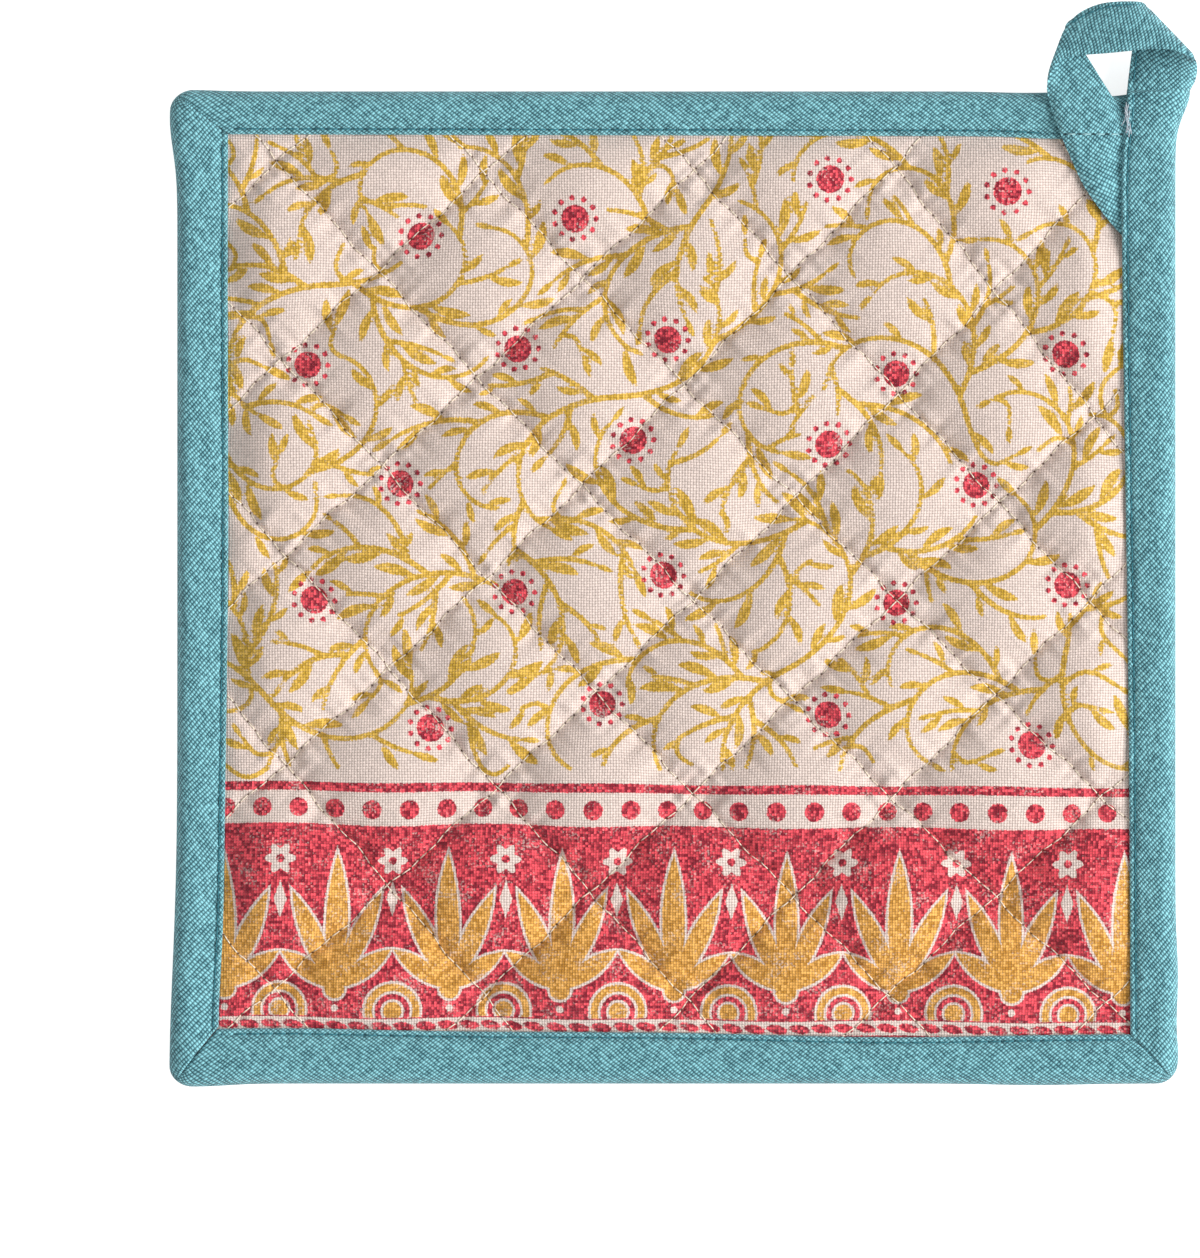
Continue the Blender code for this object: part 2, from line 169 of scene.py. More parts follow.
OUTER_BULGES = (
    Bulge(Edge.LEFT, 94.0, 1.5, 9.0),
    Bulge(Edge.LEFT, -99.0, 1.6, 32.0),
    Bulge(Edge.TOP, -97.0, 0.3, 7.0),
    Bulge(Edge.TOP, 70.0, -0.3, 8.0),
    Bulge(Edge.TOP, 86.5, -0.95, 5.5),
    Bulge(Edge.RIGHT, 99.3, 2.9, 6.0),
    Bulge(Edge.RIGHT, -78.0, 0.5, 9.0),
    Bulge(Edge.RIGHT, -93.5, 0.5, 4.5),
    Bulge(Edge.BOTTOM, -96.0, 0.6, 8.0),
    Bulge(Edge.BOTTOM, 72.0, 0.3, 12.0),
)
LIP_BULGES = (
    Bulge(Edge.RIGHT, 97.0, 1.4, 9.0),
    Bulge(Edge.RIGHT, -25.0, 0.4, 60.0),
    Bulge(Edge.LEFT, 5.0, -0.5, 45.0),
    Bulge(Edge.LEFT, -88.0, 0.9, 16.0),
    Bulge(Edge.BOTTOM, 42.0, 0.8, 30.0),
    Bulge(Edge.BOTTOM, -78.0, -0.5, 22.0),
    Bulge(Edge.TOP, 76.0, -0.5, 8.0),
)


def half_length(edge: Edge) -> float:
    """Half the length of a side."""
    return WIDE / 2 if edge.value.along[0] else TALL / 2


def bulge_at(bulges: tuple[Bulge, ...], edge: Edge, at: np.ndarray) -> np.ndarray:
    """How far a side's line is pushed outwards at places along it."""
    total = np.zeros_like(at, dtype=float)
    for bulge in bulges:
        if bulge.edge is edge:
            total += bulge.grow * hump(at - bulge.at, bulge.reach)
    return total


def lip_inset(edge: Edge, at: np.ndarray) -> np.ndarray:
    """Distance from a side in to the binding's inner edge, at places along it."""
    side = edge.value
    share = (at / half_length(edge) + 1.0) / 2.0
    straight = side.start_width + (side.end_width - side.start_width) * share
    return straight - bulge_at(LIP_BULGES, edge, at)


def lip_depth(points: np.ndarray) -> np.ndarray:
    """Distance of plan points inside the nearest inner edge of the binding."""
    depths = []
    for edge in Edge:
        side = edge.value
        depths.append(side.half - points @ side.normal - lip_inset(edge, points @ side.along))
    return np.min(depths, axis=0)


def on_outline(points: np.ndarray) -> np.ndarray:
    """Move plan points of a plain square to where its round corners and bowed sides put them.

    Args:
        points: plan points, one a row.

    Returns:
        The moved points. The corner where the loop starts stays square.
    """
    room = HALF - CORNER_RADIUS
    beyond = np.maximum(np.abs(points) - room, 0.0)
    reach = np.maximum(np.hypot(beyond[:, 0], beyond[:, 1]), 1e-9)
    at_loop = (points[:, 0] > 0) & (points[:, 1] > 0)
    pull = np.where(at_loop | (beyond.max(axis=1) < 1e-6), 1.0, beyond.max(axis=1) / reach)
    rounded = np.sign(points) * (np.minimum(np.abs(points), room) + beyond * pull[:, None])
    moved = rounded.copy()
    for edge in Edge:
        side = edge.value
        at = rounded @ side.along
        inset = side.half - rounded @ side.normal
        share = np.clip(1.0 - inset / lip_inset(edge, at), 0.0, 1.0)
        moved += np.outer(bulge_at(OUTER_BULGES, edge, at) * share, side.normal)
    return moved


# --- Meshes -------------------------------------------------------------------------------

def make_piece(
    name: str,
    points: np.ndarray,
    faces: list,
    materials: list[bpy.types.Material],
    numbers: dict[str, np.ndarray],
) -> bpy.types.Object:
    """Make a smooth mesh object from points in millimetres, riding on the holder.

    Args:
        name: the piece's name.
        points: its vertices, from the middle of the square.
        faces: vertex numbers of each face.
        materials: its materials.
        numbers: values kept on its vertices, by name, one number or three for each.

    Returns:
        The object.
    """
    mesh = bpy.data.meshes.new(name)
    mesh.from_pydata(((points + SQUARE_MIDDLE) * MM).tolist(), [], faces)
    for label, values in numbers.items():
        kind = "FLOAT_VECTOR" if values.ndim == 2 else "FLOAT"
        layer = mesh.attributes.new(label, kind, "POINT")
        layer.data.foreach_set("vector" if values.ndim == 2 else "value", values.ravel())
    for material in materials:
        mesh.materials.append(material)
    mesh.shade_smooth()
    piece = bpy.data.objects.new(name, mesh)
    bpy.context.scene.collection.objects.link(piece)
    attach(piece, "root")
    LOG.info("%s: %d vertices, %d faces", name, len(mesh.vertices), len(mesh.polygons))
    return piece


def ring_faces(rings: int, around: int, start: int = 0) -> list[tuple[int, ...]]:
    """Faces of a closed tube made of rings with as many points each, both ends capped."""
    i, j = np.meshgrid(np.arange(rings - 1), np.arange(around), indexing="ij")
    after = (j + 1) % around
    quads = np.stack(
        [i * around + j, i * around + after, (i + 1) * around + after, (i + 1) * around + j],
        axis=-1,
    ).reshape(-1, 4) + start
    faces = [tuple(quad) for quad in quads.tolist()]
    faces.append(tuple(range(start + around - 1, start - 1, -1)))
    last = start + (rings - 1) * around
    faces.append(tuple(range(last, last + around)))
    return faces


def unit(vectors: np.ndarray) -> np.ndarray:
    """Vectors of length one."""
    return vectors / np.maximum(np.linalg.norm(vectors, axis=-1, keepdims=True), 1e-9)


# --- Quilting -----------------------------------------------------------------------------

SEAM_REACH = 100.0


class Seam(NamedTuple):
    """A sewn line's distance from the middle, 100 mm before its middle, at it and after it."""

    before: float
    middle: float
    after: float


RISING = (
    Seam(-149.0, -149.0, -149.0),
    Seam(-119.5, -119.5, -119.5),
    Seam(-84.8, -88.6, -93.0),
    Seam(-60.1, -60.2, -60.4),
    Seam(-30.3, -32.1, -35.4),
    Seam(-0.6, -4.0, -2.7),
    Seam(31.5, 27.8, 29.1),
    Seam(62.8, 57.8, 56.5),
    Seam(91.2, 87.1, 83.3),
    Seam(120.8, 116.7, 112.5),
    Seam(150.0, 147.0, 144.0),
)
FALLING = (
    Seam(-142.0, -145.0, -148.0),
    Seam(-109.5, -113.8, -117.9),
    Seam(-75.1, -82.7, -90.0),
    Seam(-48.8, -53.6, -59.2),
    Seam(-23.1, -26.1, -27.7),
    Seam(3.1, 0.6, 1.5),
    Seam(32.1, 29.5, 30.9),
    Seam(63.5, 59.0, 55.1),
    Seam(97.3, 87.3, 75.6),
    Seam(121.0, 117.0, 111.0),
    Seam(150.0, 146.5, 143.0),
)
WOBBLE = (
    Wave(0.30, 0.33, 2.1, 0.0),
    Wave(0.17, 0.81, 1.0, 0.0),
)
CREASES = (
    Wave(1.00, 1.05, 3.1, 0.0),
    Wave(1.00, 0.63, 1.7, 1.0),
    Wave(0.55, 1.90, 1.3, 0.0),
    Wave(0.45, 2.67, 2.3, 0.0),
)
PRINT_WAVES = (
    Wave(0.08, 0.075, 0.0, 0.6),
    Wave(0.06, 0.19, 0.0, 0.0),
)


def seam_offsets(family: tuple[Seam, ...], along: np.ndarray) -> np.ndarray:
    """Distance of each line of a family from the middle, a row for each, at places along it."""
    table = np.array(family)[:, :, None]
    share = along[None, :] / SEAM_REACH
    lean = (table[:, 2] - table[:, 0]) / 2.0
    bow = (table[:, 2] + table[:, 0]) / 2.0 - table[:, 1]
    number = np.arange(len(family))[:, None]
    straight = table[:, 1] + lean * share
    return straight + bow * share * share + ripple(WOBBLE, along, number)


def place_between(family: tuple[Seam, ...], number: np.ndarray, along: np.ndarray) -> np.ndarray:
    """Distance from the middle of lines that may lie part way between two sewn ones."""
    offsets = seam_offsets(family, along)
    lower = np.clip(np.floor(number).astype(int), 0, len(family) - 2)
    pick = np.arange(len(along))
    share = number - lower
    return offsets[lower, pick] * (1.0 - share) + offsets[lower + 1, pick] * share


def number_at(family: tuple[Seam, ...], offset: np.ndarray, along: np.ndarray) -> np.ndarray:
    """Which line of a family runs through each place, part numbers between two lines."""
    offsets = seam_offsets(family, along)
    steps = (offset[None, :] - offsets[:-1]) / (offsets[1:] - offsets[:-1])
    return np.clip(steps, 0.0, 1.0).sum(axis=0)


def both_families(points: np.ndarray) -> tuple[tuple, tuple]:
    """Each family of lines, with how far points are from its middle line and along it."""
    across = (points[:, 1] - points[:, 0]) / ROOT2
    up = (points[:, 0] + points[:, 1]) / ROOT2
    return (RISING, across, up), (FALLING, up, -across)


def on_plan(across: np.ndarray, up: np.ndarray) -> np.ndarray:
    """Plan points from their distances across the rising lines and up them."""
    return np.stack([(up - across) / ROOT2, (up + across) / ROOT2], axis=-1)


def lattice(rising: np.ndarray, falling: np.ndarray, rounds: int = 9) -> np.ndarray:
    """Plan points where rising and falling lines cross, by their numbers."""
    up = place_between(FALLING, falling, np.zeros_like(falling))
    for _ in range(rounds):
        across = place_between(RISING, rising, up)
        up = place_between(FALLING, falling, -across)
    return on_plan(across, up)


@dataclass(frozen=True)
class QuiltShape:
    """Heights of the quilted pad's two faces.

    Attributes:
        rim_top, rim_low: heights of the rim that the binding pinches.
        valley_top, valley_low: heights at the sewn lines.
        puff_top: how far a pillow's crown stands over its valleys.
        puff_low: how far it would sag under them, if nothing stopped it.
        power: how full a pillow is.
        spread: how much the pillows differ, as a share.
        edge_ease: distance from the binding in which pillows reach full height.
        groove, groove_width: the narrow dip that the thread pulls in, and its half width.
        pucker, pucker_reach: height of the small creases beside the thread, and their reach.
        stitch: length of a stitch.
        phase: by what share of a stitch a line starts later than the one before.
        press_ease: distance from the loop's end in which pillows reach full height.
        tuck: how far the cloth goes down under the loop's end.
        hole, hole_width, hole_long: depth of the dip at a needle hole, and its half widths.
        pucker_clear: half width of the strip beside the thread that stays free of creases.
        wave: height of the broad waves that cross the whole face.
        tuck_from, tuck_over: x at which that dip starts, and over what length it deepens.
    """

    rim_top: float = 4.35
    rim_low: float = 1.5
    valley_top: float = 4.75
    valley_low: float = 1.05
    puff_top: float = 3.5
    puff_low: float = 1.9
    power: float = 2.2
    spread: float = 0.08
    edge_ease: float = 9.0
    groove: float = 0.38
    groove_width: float = 0.8
    pucker: float = 0.54
    pucker_reach: float = 2.8
    stitch: float = 2.35
    phase: float = 0.37
    press_ease: float = 9.0
    tuck: float = 1.3
    hole: float = 0.28
    hole_width: float = 0.45
    hole_long: float = 0.5
    pucker_clear: float = 0.7
    wave: float = 0.10
    tuck_from: float = 80.0
    tuck_over: float = 5.0

    def fullness(self, number: np.ndarray) -> np.ndarray:
        """0 on a sewn line, 1 half way to the next."""
        share = number - np.floor(number)
        return 1.0 - np.abs(2.0 * share - 1.0) ** self.power

    def swell(self, points: np.ndarray) -> tuple[np.ndarray, np.ndarray]:
        """Share of its height that the binding leaves the pad, and how puffed it is."""
        rising, falling = (number_at(*lines) for lines in both_families(points))
        mood = np.sin(2.1 * np.floor(rising) + 3.7 * np.floor(falling))
        puff = self.fullness(rising) * self.fullness(falling) * (1.0 + self.spread * mood)
        room = np.clip(lip_depth(points) / self.edge_ease, 0.0, 1.0)
        return 1.0 - (1.0 - room) ** 2, puff

    def seam_place(self, family: tuple[Seam, ...], offset: np.ndarray,
                   along: np.ndarray) -> np.ndarray:
        """Distance from a family's nearest line, place along it in stitches, and its number."""
        offsets = seam_offsets(family, along)
        nearest = np.abs(offset[None, :] - offsets).argmin(axis=0)
        away = np.abs(offset - offsets[nearest, np.arange(len(along))])
        return np.stack([away, along / self.stitch + nearest * self.phase, nearest], axis=-1)

    def beside_seam(self, family: tuple[Seam, ...], offset: np.ndarray,
                    along: np.ndarray) -> np.ndarray:
        """Height that one family's thread adds: its groove, needle holes and puckers."""
        away, stitches, nearest = self.seam_place(family, offset, along).T
        near_hole = hump(from_hole(stitches, self.stitch), self.hole_long)
        creases = self.pucker * ripple(CREASES, along, nearest)
        return (
            -self.groove * hump(away, self.groove_width)
            - self.hole * hump(away, self.hole_width) * near_hole
            + creases * np.exp(-away / self.pucker_reach) * (1.0 - hump(away, self.pucker_clear))
        )

    def front(self, points: np.ndarray) -> np.ndarray:
        """Height of the printed face at plan points."""
        room, puff = self.swell(points)
        from_tail = TAIL.distance(points)
        fine = sum(self.beside_seam(*lines) for lines in both_families(points))
        waves = self.wave * np.sin(0.21 * points[:, 0] + 1.1 * np.sin(0.13 * points[:, 1]))
        height = self.rim_top + (self.valley_top - self.rim_top) * room
        height = height + self.puff_top * puff * room * ease(from_tail / self.press_ease)
        tucked = ease((points[:, 0] - self.tuck_from) / self.tuck_over)
        tucked = self.tuck * (tucked * ease((2.0 - from_tail) / 3.0))
        return height + (fine + waves) * room - tucked * (points[:, 1] > TAIL.lowest)

    def back(self, points: np.ndarray) -> np.ndarray:
        """Height of the plain face at plan points."""
        room, puff = self.swell(points)
        height = self.rim_low - (self.rim_low - self.valley_low) * room
        return np.maximum(height - self.puff_low * puff * room, 0.0)


# --- The print ----------------------------------------------------------------------------

class Stroke(NamedTuple):
    """A line of the print that swells and tapers: points and the half width at each."""

    points: np.ndarray
    widths: np.ndarray


@dataclass(frozen=True)
class ScrollPrint:
    """All-over print of winding stems with willow leaves, grown until the field is full.

    Attributes:
        low, high: lowest and highest y of the printed field.
        side: how far it goes to each side.
        step: distance between two points of a stem.
        apart: least distance between two stems.
        hollow: least clear distance at which a filling sprig is drawn.
        leaf_pitch: distance between two leaves of a stem.
        leaf_long: lengths of the shortest and longest leaf.
        leaf_wide: half width of a leaf.
        stem_wide: half widths of a stem at its root and its tip.
        seed: start of the random draws.
    """

    low: float = -37.8
    high: float = 92.0
    side: float = 92.0
    step: float = 1.2
    apart: float = 5.6
    hollow: float = 5.2
    leaf_pitch: float = 4.2
    leaf_long: tuple[float, float] = (4.6, 8.8)
    leaf_wide: float = 0.90
    stem_wide: tuple[float, float] = (0.60, 0.44)
    seed: int = 23

    def blossoms(self) -> np.ndarray:
        """Middles of the small round flowers: staggered rows, each a little out of line."""
        draw = np.random.default_rng(self.seed + 5)
        spots = []
        for row in range(5):
            for column in range(6):
                x = -98.0 + 40.0 * column + (20.0 if row % 2 else 3.0)
                y = 76.0 - 26.5 * row
                nudge = draw.uniform(-6.5, 6.5, 2)
                spots.append((x + nudge[0], y + nudge[1]))
        spots = np.array(spots)
        inside = (np.abs(spots[:, 0]) < self.side - 3) & (spots[:, 1] > self.low + 4)
        return spots[inside]

    def clear(self, points: np.ndarray, taken: np.ndarray, distance: float) -> bool:
        """Whether points keep this distance from all that is taken."""
        gap = points[:, None, :] - taken[None, :, :]
        return bool((np.hypot(gap[..., 0], gap[..., 1]) > distance).all())

    def inside(self, point: np.ndarray) -> bool:
        """Whether a point is in the printed field."""
        return abs(point[0]) < self.side and self.low + 1.0 < point[1] < self.high

    def stem(self, start: np.ndarray, heading: float, turn: float,
             taken: np.ndarray) -> np.ndarray:
        """Grow one stem from a place until it meets something.

        Args:
            start: its root.
            heading: the direction it sets out in, in radians.
            turn: how much it turns in each step.
            taken: points of what is there already.

        Returns:
            Its points.
        """
        path = [start]
        for count in range(34):
            heading += turn * (0.45 + 0.035 * count)
            ahead = path[-1] + self.step * np.array([math.cos(heading), math.sin(heading)])
            if not self.inside(ahead):
                break
            if count > 4 and not self.clear(ahead[None, :], taken, self.apart * 0.8):
                break
            path.append(ahead)
        return np.array(path)

    def stems(self, draw: np.random.Generator) -> list[np.ndarray]:
        """Grow stems from stems, each set of young ones curling the other way."""
        blossoms = self.blossoms()
        ring = circle(np.linspace(0, math.tau, 7)[:-1])
        taken = [(spot + 1.5 * ring) for spot in blossoms]
        roots = [(-70.0, 60.0), (5.0, 76.0), (58.0, 34.0), (-36.0, 0.0), (22.0, -16.0),
                 (78.0, -12.0), (-82.0, -22.0), (-12.0, 38.0)]
        shoots = deque()
        for number, root in enumerate(roots):
            for side in (1.0, -1.0):
                heading = 0.9 * number + (0.0 if side > 0 else math.pi)
                shoots.append((np.array(root), heading, 0.075))
        grown = []
        while shoots:
            start, heading, turn = shoots.popleft()
            path = self.stem(start, heading, turn, np.concatenate(taken))
            if len(path) < 7:
                continue
            grown.append(path)
            side = 1.0 if turn > 0 else -1.0
            for place in range(4, len(path) - 2, 4):
                ahead = path[place + 1] - path[place]
                angle = math.atan2(ahead[1], ahead[0])
                off = -side * draw.uniform(0.75, 1.05)
                shoots.append((path[place], angle + off, side * draw.uniform(0.07, 0.13)))
                side = -side
            taken.append(path[2:])
        return grown

    def sprigs(self, draw: np.random.Generator, stems: list[np.ndarray],
               taken: list[np.ndarray]) -> list[np.ndarray]:
        """Bowed sprigs from the nearest stem into each hollow that the stems leave.

        Args:
            draw: random draws.
            stems: points of the stems.
            taken: points to keep clear of, to which those of the sprigs are added.

        Returns:
            Points of the sprigs.
        """
        made = []
        share = np.linspace(0.0, 1.0, 8)[:, None]
        for y in np.arange(self.low + 3.0, self.high - 2.0, 3.1):
            for x in np.arange(2.0 - self.side, self.side - 2.0, 3.1):
                goal = np.array([x, y]) + draw.uniform(-1.2, 1.2, 2)
                if not self.clear(goal[None, :], np.concatenate(taken), self.hollow):
                    continue
                knots = np.concatenate(stems)
                root = knots[np.linalg.norm(knots - goal, axis=1).argmin()]
                run = goal - root
                if np.linalg.norm(run) > 3.0 * self.hollow:
                    continue
                aside = np.array([-run[1], run[0]]) * draw.choice([-0.32, 0.32])
                path = root + run * share + aside * np.sin(np.pi * share) * (1.0 - share * 0.4)
                made.append(path)
                taken.append(path[2:])
        return made

    def leaf(self, base: np.ndarray, heading: float, bend: float, long: float) -> Stroke:
        """A slender leaf from its base, bending as it goes."""
        share = np.linspace(0.0, 1.0, 8)
        angles = heading + bend * share
        steps = np.stack([np.cos(angles), np.sin(angles)], axis=-1) * long / 7.0
        points = base + np.concatenate([[[0.0, 0.0]], np.cumsum(steps[:-1], axis=0)])
        swell = np.sin(np.pi * np.clip(share * 0.96 + 0.02, 0, 1) ** 1.25)
        return Stroke(points, 0.14 + self.leaf_wide * swell * (long / 8.0))

    def strokes(self) -> list[Stroke]:
        """Every stem and leaf of the print."""
        draw = np.random.default_rng(self.seed)
        stems = self.stems(draw)
        spots = self.blossoms()
        ring = circle(np.arange(0.0, math.tau, 0.7))
        taken = [path[::2] for path in stems]
        taken += [spots] + [spot + 3.6 * ring for spot in spots]
        stems += self.sprigs(draw, stems, taken)
        made = []
        for path in stems:
            share = np.linspace(0.0, 1.0, len(path))
            root = self.stem_wide[0] if len(path) > 9 else np.mean(self.stem_wide)
            made.append(Stroke(path, root + (self.stem_wide[1] - root) * share))
        side = 1.0
        for path in stems:
            pitch = np.linalg.norm(path[1] - path[0])
            every = max(round(self.leaf_pitch / pitch), 1)
            places = list(range(2, len(path) - 1, every)) + [len(path) - 1]
            for place in places:
                back = path[place] - path[place - 1]
                angle = math.atan2(back[1], back[0])
                tip = place == len(path) - 1
                off = 0.0 if tip else side * draw.uniform(0.6, 0.9)
                long = draw.uniform(*self.leaf_long)
                side = -side
                others = np.concatenate(taken)
                for share in (1.0, 0.75, 0.55):
                    leaf = self.leaf(path[place], angle + off, -off * 0.7, long * share)
                    room = self.clear(leaf.points[3:], others, 1.3 if tip else 1.45)
                    if room and self.inside(leaf.points[-1]):
                        made.append(leaf)
                        taken.append(leaf.points[3:])
                        break
        return made

    def distance(self, places: np.ndarray, reach: float = 2.0) -> np.ndarray:
        """Distance of each place outside the nearest stroke, less than 0 inside one."""
        nearest = np.full(len(places), reach)
        for stroke in self.strokes():
            low = stroke.points.min(axis=0) - reach
            high = stroke.points.max(axis=0) + reach
            near = np.flatnonzero(((places > low) & (places < high)).all(axis=1))
            spots = places[near]
            best = nearest[near]
            for start, end, first, last in zip(
                stroke.points, stroke.points[1:], stroke.widths, stroke.widths[1:]
            ):
                run = end - start
                share = np.clip((spots - start) @ run / (run @ run), 0.0, 1.0)
                away = np.linalg.norm(spots - start - share[:, None] * run, axis=1)
                best = np.minimum(best, away - first - (last - first) * share)
            nearest[near] = best
        return nearest

    def from_blossom(self, places: np.ndarray, reach: float = 8.0) -> np.ndarray:
        """Place seen from the middle of a flower, with 0 as third number, or 1 past its reach."""
        seen = np.full((len(places), 3), 1.0)
        for spot in self.blossoms():
            away = places - spot
            near = np.hypot(away[:, 0], away[:, 1]) < reach
            seen[near, :2] = away[near]
            seen[near, 2] = 0.0
        return seen


class Petal(NamedTuple):
    """A pointed petal: its lean from the upright in degrees, its length and half width."""

    lean: float
    long: float
    half: float


@dataclass(frozen=True)
class BorderPrint:
    """Printed border: a line, dots, a red band of flowers with half rings, and dashes.

    Attributes:
        line, line_half: height of the line's middle, and its half width.
        dots, dot_pitch, dot_radius: the row of dots.
        band, band_half: middle of the red band, and half its height.
        pitch: distance between two large flowers.
        root: height of the point that a large flower's petals come from.
        petals: its upright petal, and those that lean to both sides.
        calyx: radius of the round base of its petals.
        outline: width of the cream line round what is mustard.
        bud: height of the small cream flower between two large ones.
        bud_radius, bud_wave, bud_eye: its size, how deep its petals part, and its eye.
        drop, drop_long, drop_half: the cream drop under it.
        ring, ring_radius, ring_half: the half rings between two large flowers.
        pip: radius of the ring's eye.
        bead, bead_radius: the cream bead under a large flower.
        dashes, dash_half: the row of rounded dashes, and half their height.
        dash_pitch, dash_long, dash_slant: their pitch, half their length and their slant.
        hem, hem_half: height of the thin line under them, and its half width.
    """

    line: float = -40.3
    line_half: float = 0.9
    dots: float = -44.6
    dot_pitch: float = 7.35
    dot_radius: float = 1.9
    band: float = -67.15
    band_half: float = 19.35
    pitch: float = 22.5
    root: float = -80.6
    petals: tuple[Petal, ...] = (
        Petal(0.0, 27.0, 2.2),
        Petal(24.5, 21.5, 1.95),
        Petal(55.0, 13.4, 1.8),
    )
    calyx: float = 2.0
    outline: float = 0.52
    bud: float = -54.8
    bud_radius: float = 2.5
    bud_wave: float = 0.55
    bud_eye: float = 0.8
    drop: float = -62.6
    drop_long: float = 3.6
    drop_half: float = 1.25
    ring: float = -84.9
    ring_radius: float = 4.6
    ring_half: float = 0.7
    pip: float = 1.8
    bead: float = -84.5
    bead_radius: float = 0.7
    dashes: float = -88.0
    dash_half: float = 0.95
    dash_pitch: float = 4.4
    dash_long: float = 1.95
    dash_slant: float = 0.7
    hem: float = -89.7
    hem_half: float = 0.22


# --- Shader wiring ------------------------------------------------------------------------

class Signal:
    """A value on its way through a shader, which plain arithmetic can be done with."""

    def __init__(self, wiring: "Wiring", socket: bpy.types.NodeSocket) -> None:
        """Hold an output socket and what made it."""
        self.wiring = wiring
        self.socket = socket

    def __add__(self, other: "Signal | float") -> "Signal":
        """Sum."""
        return self.wiring.math("ADD", self, other)

    def __sub__(self, other: "Signal | float") -> "Signal":
        """Difference."""
        return self.wiring.math("SUBTRACT", self, other)

    def __rsub__(self, other: float) -> "Signal":
        """Difference from a number."""
        return self.wiring.math("SUBTRACT", other, self)

    def __mul__(self, other: "Signal | float") -> "Signal":
        """Product."""
        return self.wiring.math("MULTIPLY", self, other)

    def abs(self) -> "Signal":
        """Size without sign."""
        return self.wiring.math("ABSOLUTE", self)

    def least(self, other: "Signal | float") -> "Signal":
        """The smaller of two."""
        return self.wiring.math("MINIMUM", self, other)

    def most(self, other: "Signal | float") -> "Signal":
        """The larger of two."""
        return self.wiring.math("MAXIMUM", self, other)

    def floor(self) -> "Signal":
        """The whole number below."""
        return self.wiring.math("FLOOR", self)

    def sine(self) -> "Signal":
        """Sine of an angle in radians."""
        return self.wiring.math("SINE", self)

    def power(self, exponent: float) -> "Signal":
        """Raise to a power."""
        return self.wiring.math("POWER", self, exponent)

    def over(self, divisor: "Signal | float") -> "Signal":
        """Quotient."""
        return self.wiring.math("DIVIDE", self, divisor)

    def fold(self, half: float) -> "Signal":
        """Distance from the nearest whole repeat, for a repeat of twice this."""
        return self.wiring.math("PINGPONG", self, half)

    def held(self) -> "Signal":
        """Held between 0 and 1."""
        return self.wiring.math("ADD", self, 0.0, clamp=True)

    def length(self, other: "Signal") -> "Signal":
        """Length of the long side over two square sides."""
        return self.wiring.math("SQRT", self * self + other * other)

    def under(self, limit: float, soft: float) -> "Signal":
        """1 where the value is well under the limit and 0 where it is well over it."""
        return ((limit - self) * (0.5 / soft) + 0.5).held()


